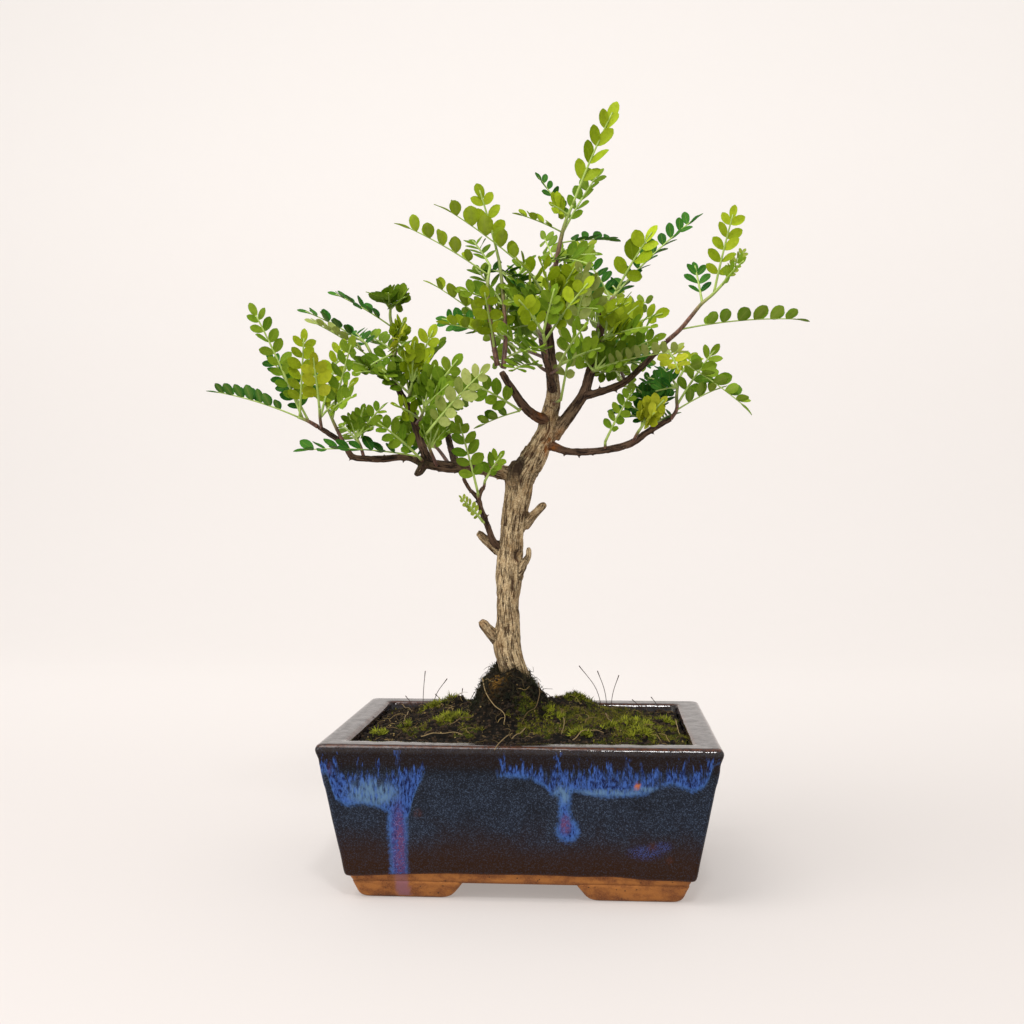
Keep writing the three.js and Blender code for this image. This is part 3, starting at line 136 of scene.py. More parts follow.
# Leafy sprays: the shoot's base radius and points, and its fronds as
# (place along the shoot, tip x, y, z, face, tone, leaflet length)
SPRAYS = {
    "crown_tip": (1.7, [(12, 4, 314), (15, 4, 330), (18, 2, 345), (21, 0, 356), (25, -2, 365)], [
        (1, 50, -8, 420, "front", "bright", 12), (0.6, 42, 10, 389, "front", "mid", 8),
        (0.85, 12, -12, 364, "front", "bright", 8), (0.8, 4, 12, 385, "up", "dark", 6),
        (0.62, -8, -8, 360, "up", "bright", 6.5), (0.5, 52, 22, 350, "up", "dark", 8),
        (0.35, 36, -25, 327, "front", "mid", 8)]),
    "right_tip": (1.3, [(76, -18, 287), (83, -20, 293), (89, -22, 300), (94, -23, 306), (100, -24, 311),
        (106, -26, 317)], [
        (0.2, 151, -24, 297, "raised", "mid", 8.8), (0.82, 111, -34, 356, "front", "bright", 8),
        (0.62, 91, -12, 331, "front", "dark", 7), (1, 118, -20, 336, "front", "young", 3.5),
        (0.96, 115, -40, 325, "front", "mid", 6)]),
    "left_tip": (1.2, [(-111, -32, 241), (-116, -34, 244), (-121, -36, 246)], [
        (1, -169, -42, 260, "raised", "dark", 7), (0.75, -145, -44, 306, "front", "mid", 7.5),
        (0.45, -140, -28, 282, "front", "dark", 7), (0.9, -114, -26, 287, "front", "bright", 7.5)]),
    "left_row": (1.5, [(-15, -23, 274), (-18, -24, 292), (-20, -24, 309), (-20, -24, 320),
        (-19, -22, 328)], [
        (0.83, -69, -34, 350, "raised", "bright", 9), (0.22, -50, -12, 302, "front", "dark", 8),
        (0.12, -20, -52, 312, "front", "bright", 8.5), (1, -32, 0, 348, "front", "mid", 7)]),
    "left_fan": (1.4, [(-12, -21, 273), (-11, -18, 289), (-12, -16, 308), (-14, -15, 328),
        (-16, -16, 338)], [
        (1, -26, -22, 373, "front", "bright", 9), (0.25, -56, -38, 319, "raised", "bright", 8.5),
        (0.72, 7, -6, 318, "up", "dark", 7), (0.5, 0, 4, 335, "front", "mid", 8),
        (0.42, -35, 12, 316, "up", "mid", 7)]),
    "upper_left": (1.2, [(11, 2, 302), (9, -8, 313), (4, -14, 324)], [
        (1, -47, -22, 359, "raised", "bright", 10), (0.62, -3, -48, 327, "front", "bright", 9),
        (0.35, -10, -44, 304, "front", "mid", 8)]),
    "right_crown": (1.5, [(43, -4, 308), (47, -2, 313), (49, 0, 317)], [
        (1, 71, -12, 351, "front", "bright", 11), (0.7, 98, 16, 364, "up", "dark", 8),
        (0.4, 33, 24, 339, "front", "dark", 8)]),
    "left_rise_tip": (1.4, [(-73, -14, 269), (-73, -14, 278), (-72, -14, 284), (-73, -13, 293),
        (-75, -12, 302), (-75, -12, 307)], [
        (1, -72, -38, 312, "front", "mid", 8), (0.68, -108, -20, 316, "up", "dark", 7.5),
        (0.28, -63, -46, 289, "front", "yellow", 8), (0.5, -64, -26, 300, "front", "bright", 6),
        (0.35, -95, 14, 297, "front", "mid", 7)]),
    "left_twig": (1.1, [(-70, -14, 262), (-79, -15, 270), (-83, -15, 278), (-86, -16, 284),
        (-88, -16, 288)], [
        (0.95, -124, -24, 306, "up", "dark", 8.5), (0.5, -116, -40, 298, "up", "pale", 7.5),
        (0.75, -101, 12, 299, "front", "dark", 7), (0.3, -90, -42, 268, "front", "mid", 7.5)]),
    "left_yellow": (1, [(-109, -32, 240), (-108, -40, 245), (-107, -46, 250)], [
        (1, -108, -58, 278, "front", "yellow", 9), (0.5, -96, -34, 288, "front", "bright", 7)]),
    "left_inner": (1.1, [(-96, -30, 230), (-99, -34, 237), (-102, -36, 244), (-105, -38, 252)], [
        (0.7, -90, -50, 274, "front", "mid", 8.5), (1, -116, -16, 272, "front", "dark", 7),
        (0.85, -83, -62, 254, "front", "mid", 7.5)]),
    "left_long_leaf": (1, [(-55, -22, 222), (-57, -29, 225)], [
        (1, -119, -54, 227, "up", "dark", 8), (0.8, -79, -38, 244, "front", "mid", 8)]),
    "left_small_rise": (1, [(-87, -26, 224), (-88, -30, 230), (-90, -32, 235)], [
        (1, -73, -34, 254, "front", "mid", 6), (0.5, -107, 6, 245, "front", "mid", 6)]),
    "left_right_hand": (1.1, [(-66, -15, 255), (-63, -21, 258), (-61, -25, 265)], [
        (1, -47, -34, 295, "front", "bright", 8.5), (0.6, -45, -6, 292, "up", "mid", 7.5),
        (0.25, -44, -34, 270, "front", "mid", 7.5)]),
    "left_front": (1, [(-60, -18, 243), (-56, -27, 246), (-53, -34, 251)], [
        (1, -32, -42, 278, "front", "mid", 8.5), (0.4, -69, -46, 252, "front", "bright", 7.5)]),
    "left_pale": (1, [(-48, -20, 220), (-50, -33, 228), (-52, -41, 235)], [
        (1, -16, -54, 271, "front", "pale", 8), (0.55, -37, -40, 254, "front", "mid", 7)]),
    "left_behind": (1.1, [(-42, -14, 221), (-49, 0, 229), (-55, 8, 235), (-60, 16, 241)], [
        (1, -79, 30, 251, "front", "mid", 7.5), (0.7, -52, 34, 262, "front", "mid", 7.5),
        (0.45, -74, 30, 234, "front", "dark", 7)]),
    "hanging_leaf": (0.9, [(-26, -13, 201), (-26, -19, 206)], [(1, -36, -32, 247, "front", "mid", 8)]),
    "small_leaf": (0.9, [(-23, -14, 209), (-22, -20, 212)], [(1, -11, -26, 228, "front", "mid", 7)]),
    "twig_bud": (0.9, [(-21, -9, 188), (-24, -12, 190)], [(1, -36, -16, 204, "front", "young", 3.5)]),
    "left_upper_fall": (1, [(-2, -13, 253), (-4, -16, 250)], [
        (0.8, -34, -24, 266, "front", "mid", 8), (1, -28, -20, 240, "raised", "mid", 7)]),
    "right_drop": (1, [(75, -17, 285), (76, -23, 282), (78, -28, 278)], [
        (1, 119, -42, 246, "raised", "mid", 8.5), (0.6, 81, -50, 266, "front", "yellow", 8)]),
    "right_fan": (1, [(38, -6, 286), (41, -13, 288), (43, -18, 289)], [
        (1, 77, -32, 301, "front", "bright", 9), (0.6, 69, -44, 289, "front", "mid", 8)]),
    "right_arch": (1.1, [(35, -6, 272), (38, -15, 272)], [
        (1, 75, -30, 289, "front", "mid", 8), (0.85, 90, -48, 265, "raised", "pale", 7.5),
        (0.6, 63, 0, 284, "up", "mid", 7)]),
    "right_behind": (1, [(54, -12, 266), (52, 0, 273), (51, 12, 280)], [
        (1, 72, 30, 291, "front", "dark", 7), (0.6, 40, 34, 288, "front", "mid", 7)]),
    "low_right_tip": (1.1, [(78, -22, 245), (81, -24, 250), (81, -23, 257), (82, -22, 266)], [
        (0.3, 107, -30, 262, "raised", "mid", 7), (0.45, 104, -36, 279, "front", "mid", 8),
        (1, 93, -14, 283, "front", "bright", 7), (0.85, 73, -2, 276, "front", "dark", 7)]),
    "low_right_dark": (1, [(70, -21, 240), (70, -18, 245), (70, -14, 252)], [
        (1, 65, -8, 272, "front", "dark", 6), (0.6, 80, 4, 266, "front", "dark", 6),
        (0.3, 60, 8, 261, "front", "dark", 6)]),
    "low_right_bright": (1, [(58, -20, 233), (60, -27, 237), (62, -31, 240)], [
        (1, 75, -42, 255, "front", "yellow", 7.5)]),
    "low_right_small": (0.9, [(43, -17, 229), (43, -20, 233)], [(1, 59, -28, 262, "front", "mid", 6)]),
    "right_front_pale": (1.1, [(40, -6, 297), (40, -16, 299)], [
        (1, 28, -46, 325, "front", "pale", 8), (0.8, 57, -48, 304, "front", "bright", 9)]),
    "middle_front": (1.2, [(12, -38, 276), (12, -47, 281), (11, -53, 287)], [
        (0.7, 37, -68, 313, "front", "bright", 8.5), (1, -2, -72, 303, "front", "bright", 8.5),
        (1, 18, -62, 311, "front", "mid", 8.5), (0.4, 2, -86, 273, "front", "mid", 8)]),
    "middle_front_right": (1.1, [(13, -21, 270), (18, -34, 271), (20, -44, 274)], [
        (1, 34, -74, 289, "front", "mid", 8), (0.7, 43, -66, 278, "front", "mid", 8)]),
    "middle_stem": (1, [(14, -2, 255), (19, -16, 256)], [(1, 26, -58, 303, "front", "pale", 8)]),
    "middle_low_left": (1.1, [(13, -2, 272), (8, -14, 274), (4, -23, 277)], [
        (1, -12, -62, 288, "front", "mid", 8.5), (0.7, -5, -64, 266, "front", "mid", 8)]),
    "middle_top": (1.1, [(12, 1, 298), (14, -12, 303), (16, -22, 307)], [
        (1, 29, -44, 327, "front", "bright", 8.5), (0.9, 9, -54, 326, "front", "bright", 9),
        (0.6, 38, -40, 308, "front", "mid", 8)]),
    "back_inner_left": (1.1, [(12, 3, 288), (6, 16, 296), (2, 24, 303)], [
        (1, -19, 38, 326, "front", "mid", 8), (0.9, -4, 52, 334, "front", "mid", 8),
        (0.6, -20, 54, 307, "front", "dark", 8)]),
    "back_left_tip": (1.2, [(-50, 36, 246), (-53, 48, 255), (-55, 58, 262)], [
        (1, -80, 84, 281, "up", "mid", 8), (1, -55, 84, 290, "back", "mid", 8),
        (0.6, -33, 84, 273, "back", "mid", 8), (0.3, -77, 72, 252, "back", "mid", 7.5)]),
    "back_tip": (1.2, [(5, 50, 297), (4, 62, 305), (2, 72, 313)], [
        (1, -18, 100, 338, "back", "mid", 8.5), (1, 6, 104, 350, "back", "bright", 8.5),
        (0.8, 25, 108, 331, "back", "mid", 8), (0.4, -11, 112, 309, "back", "mid", 8)]),
    "back_right_tip": (1.2, [(44, 46, 296), (47, 57, 302), (49, 66, 308)], [
        (1, 74, 90, 329, "back", "mid", 8.5), (1, 50, 94, 341, "back", "bright", 8),
        (0.7, 71, 104, 306, "back", "mid", 8), (0.5, 31, 108, 319, "back", "mid", 8)]),
    "back_top": (1.2, [(12, 3, 305), (14, 18, 316), (15, 30, 327), (17, 40, 336)], [
        (1, 38, 62, 359, "back", "bright", 8), (0.9, 5, 64, 365, "back", "mid", 8),
        (0.6, 27, 84, 347, "back", "mid", 8)]),
    "back_low_left": (1.1, [(9, 27, 284), (0, 40, 289), (-8, 50, 292)], [
        (1, -33, 68, 307, "back", "mid", 8), (0.8, -27, 84, 285, "back", "mid", 8),
        (0.6, -13, 88, 317, "back", "mid", 8)]),
    "back_low_right": (1.1, [(39, 24, 285), (44, 38, 283), (47, 50, 282)], [
        (1, 74, 66, 285, "back", "mid", 8), (0.8, 59, 86, 270, "back", "mid", 7.5)]),
}

# Small turns (dy, dz, dx) of a frond's tip that keep it clear of its neighbours
TURNS = [
    (0, 0, 0), (-8, 0, 0), (8, 0, 0), (-8, 4, 0), (8, 4, 0), (0, 5, 2), (0, 5, -2), (-16, 0, 0),
    (16, 0, 0), (-16, 6, 0), (16, 6, 0), (-10, 8, 4), (-10, 8, -4), (10, 8, 4), (10, 8, -4), (0, -7, 4),
    (0, -7, -4), (-24, 4, 0), (24, 4, 0), (-20, 10, 6), (-20, 10, -6), (20, 10, 6), (20, 10, -6),
    (0, 14, 8), (0, 14, -8), (-30, -4, 0), (30, -4, 0), (-12, -12, 0), (12, -12, 0),
]


def fixed_draw(number):
    """A fixed draw between 0 and 1 for every whole number, as the solids' rule has it."""
    wave = math.sin(number * 12.9898) * 43758.5453
    return wave - math.floor(wave)


def value_noise(points, size):
    """Smooth noise from -1 to 1, its bumps about size millimetres wide."""
    place = np.asarray(points, float) / size
    cell = np.floor(place)
    share = place - cell
    share = share * share * (3 - 2 * share)
    total = np.zeros(len(place))
    for corner in product((0, 1), repeat=3):
        wave = np.sin((cell + corner) @ (127.1, 311.7, 74.7)) * 43758.5453
        total += np.prod(np.where(corner, share, 1 - share), axis=1) * (wave - np.floor(wave))
    return 2 * total - 1


def smooth_step(values, low, high):
    share = np.clip((np.asarray(values, float) - low) / (high - low), 0, 1)
    return share * share * (3 - 2 * share)


def smooth_path(points, shares):
    """Points at shares of a Catmull-Rom line; its points may carry a radius too."""
    points = np.array(points, float)
    ends = np.vstack([2 * points[0] - points[1], points, 2 * points[-1] - points[-2]])
    place = np.clip(np.atleast_1d(shares), 0, 1) * (len(points) - 1)
    cell = np.minimum(place.astype(int), len(points) - 2)
    t = (place - cell)[:, None]
    p0, p1, p2, p3 = (ends[cell + i] for i in range(4))
    start, end = (p2 - p0) / 2, (p3 - p1) / 2
    curve = 3 * (p2 - p1) - 2 * start - end
    return p1 + start * t + curve * t**2 + (2 * (p1 - p2) + start + end) * t**3


def line_length(points):
    return np.linalg.norm(np.diff(points, axis=0), axis=1).sum()


def wall_faces(rows, columns):
    """Faces of a wall of closed rings."""
    row, column = np.meshgrid(np.arange(rows - 1), np.arange(columns), indexing="ij")
    onward = (column + 1) % columns
    corners = (row * columns + column, row * columns + onward,
               (row + 1) * columns + onward, (row + 1) * columns + column)
    return np.stack(corners, axis=-1).reshape(-1, 4).tolist()


def tube(points, radii, sides, first=(0, 1, 0), flatness=1.0):
    """A closed tube along points, flattened along its carried normal: (points, faces)."""
    points = np.asarray(points, float)
    tangents = np.gradient(points, axis=0)
    tangents /= np.linalg.norm(tangents, axis=1, keepdims=True)
    normals = np.empty_like(points)
    normal = np.array(first, float)
    for i, tangent in enumerate(tangents):
        normal = normal - tangent * (normal @ tangent)
        normal /= np.linalg.norm(normal)
        normals[i] = normal
    across = np.cross(tangents, normals)
    turn = np.arange(sides) / sides * 2 * math.pi
    radii = np.broadcast_to(np.asarray(radii, float), len(points))[:, None, None]
    ring = (np.sin(turn)[None, :, None] * across[:, None]
            + flatness * np.cos(turn)[None, :, None] * normals[:, None])
    count = len(points) * sides
    caps = [list(range(sides))[::-1], list(range(count - sides, count))]
    return (points[:, None] + radii * ring).reshape(-1, 3), wall_faces(len(points), sides) + caps


def merged(parts):
    """Several (points, faces) as one."""
    points, faces, start = [], [], 0
    for part_points, part_faces in parts:
        points.append(part_points)
        faces += [[start + corner for corner in face] for face in part_faces]
        start += len(part_points)
    return np.vstack(points), faces


def store(mesh, name, values):
    """Keeps a number, a vector or a turn at every point of a mesh."""
    values = np.asarray(values, dtype=np.float32)
    width = 1 if values.ndim == 1 else values.shape[1]
    kind, slot = {1: ("FLOAT", "value"), 3: ("FLOAT_VECTOR", "vector"), 4: ("QUATERNION", "value")}[width]
    mesh.attributes.new(name, kind, "POINT").data.foreach_set(slot, values.ravel())


def new_piece(name, points, faces, materials=(), fields=(), face_materials=None, sharp=None,
              place=(0, 0, 0)):
    """An object at the origin from points in the tree's frame, or in one that stands at a place.

    A field with fewer values than there are points is zero at the last ones.
    """
    mesh = bpy.data.meshes.new(name)
    mesh.from_pydata(((np.asarray(points) + ORIGIN + place) * MM).tolist(), [], faces)
    for material in materials:
        mesh.materials.append(material)
    if face_materials is not None:
        mesh.polygons.foreach_set("material_index", face_materials)
    for label, values in dict(fields).items():
        store(mesh, label, np.pad(values, (0, len(points) - len(values))))
    mesh.shade_smooth()
    if sharp:
        mesh.set_sharp_from_angle(angle=sharp)
    piece = bpy.data.objects.new(name, mesh)
    bpy.context.scene.collection.objects.link(piece)
    return piece


def plain_mesh(piece):
    """The object's mesh with its modifiers worked in, and the modifiers gone."""
    graph = bpy.context.evaluated_depsgraph_get()
    mesh = bpy.data.meshes.new_from_object(piece.evaluated_get(graph), depsgraph=graph)
    piece.modifiers.clear()
    piece.data = mesh
    return mesh


def mesh_points(mesh):
    """A mesh's points in the tree's frame."""
    flat = np.empty(3 * len(mesh.vertices))
    mesh.vertices.foreach_get("co", flat)
    return flat.reshape(-1, 3) / MM - ORIGIN


def move_points(mesh, points):
    mesh.vertices.foreach_set("co", ((points + ORIGIN) * MM).ravel())
    mesh.update()


def settle(piece, slot, *nodes):
    """Puts a piece on the root body and hides the solids it stands for; slot is not used."""
    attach(piece, "root")
    if nodes:
        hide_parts(*nodes)


class Nodes:
    """A node tree that grows by calls that take and return sockets."""

    def __init__(self, tree):
        self.tree = tree
        tree.nodes.clear()

    def add(self, kind, inputs=(), output=0, **settings):
        node = self.tree.nodes.new(kind)
        for key, value in settings.items():
            setattr(node, key, value)
        for key, value in dict(inputs).items():
            if isinstance(value, bpy.types.NodeSocket):
                self.tree.links.new(value, node.inputs[key])
            else:
                node.inputs[key].default_value = value
        return node.outputs[output]

    def math(self, operation, a, b=0.0):
        return self.add("ShaderNodeMath", {0: a, 1: b}, operation=operation)

    def times(self, a, b):
        return self.math("MULTIPLY", a, b)

    def plus(self, a, b):
        return self.math("ADD", a, b)

    def minus(self, a, b):
        return self.math("SUBTRACT", a, b)


class Group(Nodes):
    """A geometry node group with named inputs that sets copies of shapes."""

    def __init__(self, name, inputs):
        super().__init__(bpy.data.node_groups.new(name, "GeometryNodeTree"))
        new_socket = self.tree.interface.new_socket
        new_socket("Geometry", in_out="OUTPUT", socket_type="NodeSocketGeometry")
        self.identifiers = {
            label: new_socket(label, in_out="INPUT", socket_type="NodeSocket" + kind).identifier
            for label, kind in inputs}
        self.given = self.tree.nodes.new("NodeGroupInput").outputs

    def field(self, name, kind):
        return self.add("GeometryNodeInputNamedAttribute", {"Name": name}, "Attribute", data_type=kind)

    def done(self, copies):
        """The end of the group: the copies made real, with their finish."""
        real = self.add("GeometryNodeRealizeInstances", {0: copies})
        whole = self.add("GeometryNodeSetMaterial", {0: real, "Material": self.given["Finish"]})
        self.tree.links.new(whole, self.tree.nodes.new("NodeGroupOutput").inputs[0])
        return self

    def work_in(self, piece, values):
        """The piece's mesh as the group makes it from values, which are set by identifier."""
        modifier = piece.modifiers.new(self.tree.name, "NODES")
        modifier.node_group = self.tree
        for label, value in values.items():
            modifier[self.identifiers[label]] = value
        return plain_mesh(piece)


class Finish(Nodes):
    """A material; a colour is a socket or a hex code."""

    def __init__(self, name):
        self.material = bpy.data.materials.new(name)
        self.material.use_nodes = True
        super().__init__(self.material.node_tree)

    def field(self, name, output="Fac"):
        return self.add("ShaderNodeAttribute", output=output, attribute_name=name)

    def place(self, stretch=(1, 1, 1), vector=None):
        """Object coordinates in millimetres, or a field's, stretched."""
        if vector is None:
            vector = self.add("ShaderNodeTexCoord", output="Object")
            stretch = [share / MM for share in stretch]
        return self.add("ShaderNodeMapping", {"Vector": vector, "Scale": stretch})

    def noise(self, vector, size, detail=3.0, rough=0.55):
        return self.add("ShaderNodeTexNoise", {"Vector": vector, "Scale": 1 / size, "Detail": detail,
                                               "Roughness": rough})

    def cells(self, vector, size, output="Distance"):
        return self.add("ShaderNodeTexVoronoi", {"Vector": vector, "Scale": 1 / size}, output=output)

    def step(self, value, low, high, start=0.0, end=1.0):
        return self.add("ShaderNodeMapRange", {"Value": value, "From Min": low, "From Max": high,
                                               "To Min": start, "To Max": end},
                        interpolation_type="SMOOTHSTEP")

    def mix(self, share, a, b, blend="MIX"):
        a, b = ((*srgb(colour), 1) if isinstance(colour, str) else colour for colour in (a, b))
        return self.add("ShaderNodeMix", {0: share, 6: a, 7: b}, 2, data_type="RGBA", blend_type=blend)

    def bump(self, height, depth, strength=1.0):
        """A normal from a height between 0 and 1 that stands for depth millimetres."""
        return self.add("ShaderNodeBump", {"Height": height, "Distance": depth * MM,
                                           "Strength": strength})

    def surface(self, colour, roughness, normal, **sockets):
        named = {key.replace("_", " "): value for key, value in sockets.items()}
        return self.add("ShaderNodeBsdfPrincipled", {"Base Color": colour, "Roughness": roughness,
                                                     "Normal": normal, **named})

    def done(self, shader):
        self.tree.links.new(shader, self.tree.nodes.new("ShaderNodeOutputMaterial").inputs["Surface"])
        return self.material


def srgb(code):
    """A hex colour as linear red, green and blue."""
    shades = [int(code[i:i + 2], 16) / 255 for i in (0, 2, 4)]
    return tuple(((s + 0.055) / 1.055)**2.4 if s > 0.04045 else s / 12.92 for s in shades)


def make_leaf_finish():
    """Thin leaflets: a pale midrib, faint veins, and light that shows through."""
    finish = Finish("leaf")
    colour = finish.field("leaf_colour", "Color")
    across = finish.math("ABSOLUTE", finish.field("across"))
    along = finish.field("along")
    mottle = finish.noise(finish.place(), 2.2)
    colour = finish.mix(finish.step(mottle, 0.4, 0.75, 0.0, 0.35), colour, "a8b45a", "MULTIPLY")
    slant = finish.minus(finish.times(along, 7.0), finish.times(across, 1.6))
    wave = finish.math("ABSOLUTE", finish.math("SINE", finish.times(slant, math.pi)))
    veins = finish.step(wave, 0.0, 0.25, 0.18, 0.0)
    colour = finish.mix(veins, colour, "a8b434", "SCREEN")
    rib = finish.times(finish.step(across, 0.02, 0.1, 0.45, 0.0), finish.step(along, 0.6, 1.0, 0.6, 0.1))
    colour = finish.mix(rib, colour, "b4c048")
    under = finish.field("under")
    colour = finish.mix(finish.times(under, 0.35), colour, "a0ac5c")
    normal = finish.bump(finish.minus(mottle, finish.plus(veins, rib)), 0.12, 0.5)
    face = finish.surface(colour, 0.5, normal, Specular_IOR_Level=0.12)
    glow = finish.mix(1.0, colour, "ecec4c", "MULTIPLY")
    through = finish.add("ShaderNodeBsdfTranslucent", {"Color": glow})
    return finish.done(finish.add("ShaderNodeMixShader", {0: 0.5, 1: face, 2: through}))


def make_stalk_finish():
    """Green midribs that turn brown where a shoot is woody."""
    finish = Finish("stalk")
    flecks = finish.noise(finish.place((1, 1, 0.4)), 1.2)
    green = finish.mix(flecks, "7c9638", "a9ba62")
    brown = finish.mix(finish.step(flecks, 0.4, 0.65), "4a2d22", "7a5240")
    colour = finish.mix(finish.field("woody"), green, brown)
    return finish.done(finish.surface(colour, 0.5, finish.bump(flecks, 0.15, 0.6)))


def make_bark_finish():
    """Grey-tan fissured bark on the trunk, dark brown on the branches, sawn faces darker."""
    finish = Finish("bark")
    spot = finish.field("bark_place", "Vector")
    fibres = finish.noise(finish.place((1, 1, 0.2), spot), 0.9, 5, 0.65)
    plates = finish.noise(finish.place((1, 1, 0.35), spot), 3.0, 4, 0.62)
    flecks = finish.noise(finish.place(), 0.7, 3, 0.65)
    lines = finish.noise(finish.place((1, 1, 0.06), spot), 0.8, 4, 0.6)
    crack = finish.plus(finish.times(fibres, 0.42), finish.times(plates, 0.26))
    crack = finish.step(finish.plus(crack, finish.times(lines, 0.32)), 0.42, 0.53)
    pale = finish.mix(finish.step(flecks, 0.35, 0.7), "a08762", "dcc7a0")
    pale = finish.mix(finish.step(finish.noise(finish.place(), 7, 3), 0.44, 0.68, 0, 0.6), pale, "846843")
    trunk = finish.mix(crack, "3a2c20", pale)
    twig = finish.mix(crack, "1f1511", "5a4536")
    twig = finish.mix(finish.step(finish.cells(finish.place((1, 1, 0.5), spot), 2.2), 0.1, 0.16, 1, 0),
                      twig, "7c6450")
    colour = finish.mix(finish.field("girth"), twig, trunk)
    rust = finish.times(finish.step(finish.noise(finish.place(), 6), 0.5, 0.64, 0.2, 0.85),
                        finish.field("rusty"))
    colour = finish.mix(rust, colour, "9a5a22")
    colour = finish.mix(finish.times(finish.field("shade"), finish.step(plates, 0.3, 0.6, 0.5, 1)),
                        colour, "3b2d22")
    colour = finish.mix(finish.field("cut"), colour, "2a1f19")
    colour = finish.mix(finish.times(finish.field("mossy"), finish.step(plates, 0.35, 0.6)), colour,
                        "33371a")
    height = finish.plus(finish.times(fibres, 0.6), finish.times(crack, 0.4))
    return finish.done(finish.surface(colour, 0.88, finish.bump(height, 0.8, 1.0),
                                      Specular_IOR_Level=0.15))


def make_glaze_finish():
    """Dark speckled glaze with blue runs, violet where a run is thick, rusty where it is thin."""
    finish = Finish("glaze")
    spot = finish.place()
    streaks = finish.noise(finish.place((1, 1, 0.12)), 1.3, 4, 0.62)
    clouds = finish.noise(spot, 15, 3)
    fine = finish.noise(spot, 1.2, 3, 0.65)
    dots = finish.cells(spot, 0.4, "Color")
    specks = finish.step(dots, 0.55, 0.9)
    base = finish.mix(finish.field("brown"), "0d0d10", "2b1709")
    veil = finish.times(finish.field("veil"), finish.step(clouds, 0.3, 0.68, 0.45, 1.0))
    base = finish.mix(veil, base, "1b202b")
    base = finish.mix(finish.times(specks, finish.step(veil, 0, 1, 0.22, 0.68)), base, "48566c")
    low = finish.plus(finish.field("flow"), finish.times(finish.minus(fine, 0.5), 5.0))
    high = finish.plus(finish.field("crest"), finish.times(finish.minus(streaks, 0.53), 22.0))
    reach = finish.math("MINIMUM", low, high)
    gaps = finish.step(finish.noise(finish.place((1, 1, 0.1)), 2.0, 3), 0.46, 0.6)
    gaps = finish.times(gaps, finish.step(high, 9.0, 2.0, 0.0, 0.9))
    blue = finish.times(finish.step(reach, -1.6, 1.8), finish.minus(1.0, gaps))
    thin = finish.step(finish.noise(finish.place((1, 1, 0.3)), 1.0, 3, 0.7), 0.36, 0.62)
    royal = finish.mix(thin, "0c1238", "38589a")
    royal = finish.mix(finish.step(low, 2.6, 0.4, 0.0, 0.5), royal, "4872b0")
    pale = finish.times(finish.field("pale"), finish.step(streaks, 0.36, 0.6, 0.15, 0.85))
    royal = finish.mix(pale, royal, "5a7894")
    violet = finish.mix(specks, "3a3060", "6c6292")
    violet = finish.mix(finish.times(finish.field("red"), finish.step(fine, 0.35, 0.6)), violet, "643e5c")
    royal = finish.mix(finish.times(finish.field("violet"), finish.step(fine, 0.25, 0.55)), royal, violet)
    colour = finish.mix(blue, base, royal)
    haze = finish.times(finish.field("haze"), finish.step(dots, 0.3, 0.75))
    colour = finish.mix(finish.times(haze, 0.6), colour, "3c4a84")
    colour = finish.mix(finish.times(finish.field("rust"), finish.step(fine, 0.3, 0.6)), colour, "542a13")
    colour = finish.mix(finish.field("orange"), colour, "b0633a")
    pits = finish.step(finish.cells(spot, 3.4), 0.05, 0.1, 1, 0)
    height = finish.minus(finish.plus(fine, finish.times(clouds, 2.0)), pits)
    normal = finish.bump(height, 0.07, 0.5)
    rough = finish.step(dots, 0.3, 0.75, 0.08, 0.2)
    worn = finish.step(finish.noise(spot, 4.5, 4, 0.62), 0.38, 0.58, 0.5, 1.0)
    dimples = finish.bump(finish.noise(spot, 4.0, 4), 0.22, 0.6)
    wall = finish.surface(colour, rough, normal, Specular_IOR_Level=0.1)
    rim = finish.surface(colour, 0.07, dimples, Specular_IOR_Level=0.45)
    chips = finish.step(finish.cells(spot, 2.6), 0.1, 0.24, 0.2, 1.0)
    share = finish.times(finish.field("rim"), finish.times(worn, chips))
    return finish.done(finish.add("ShaderNodeMixShader", {0: share, 1: wall, 2: rim}))


def make_clay_finish():
    """Bare fired clay: orange brown, sandy, with dark pits and a pink run of glaze over one foot."""
    finish = Finish("bare_clay")
    spot = finish.place()
    cloud = finish.noise(finish.place((1, 1, 1.6)), 8, 4)
    sand = finish.noise(spot, 0.7, 3, 0.7)
    colour = finish.mix(finish.step(cloud, 0.35, 0.65), "6e3c1a", "a0642c")
    colour = finish.mix(finish.step(sand, 0.35, 0.7, 0.0, 0.45), colour, "ad7038")
    pits = finish.step(finish.cells(spot, 2.9), 0.07, 0.16, 1, 0)
    pits = finish.times(pits, finish.step(finish.noise(spot, 6), 0.44, 0.54))
    colour = finish.mix(pits, colour, "21130c")
    # Darker clay towards the underside, along the feet's bottom edges and in patches on the feet.
    colour = finish.mix(finish.field("darker_clay"), colour, "4d2813")
    run = finish.times(finish.field("violet"), finish.step(sand, 0.25, 0.5, 0.6, 1))
    colour = finish.mix(run, colour, "85565c")
    normal = finish.bump(finish.minus(sand, finish.times(pits, 3.0)), 0.25, 0.8)
    rough = finish.minus(0.68, finish.times(finish.field("violet"), 0.4))
    return finish.done(finish.surface(colour, rough, normal, Specular_IOR_Level=0.3))


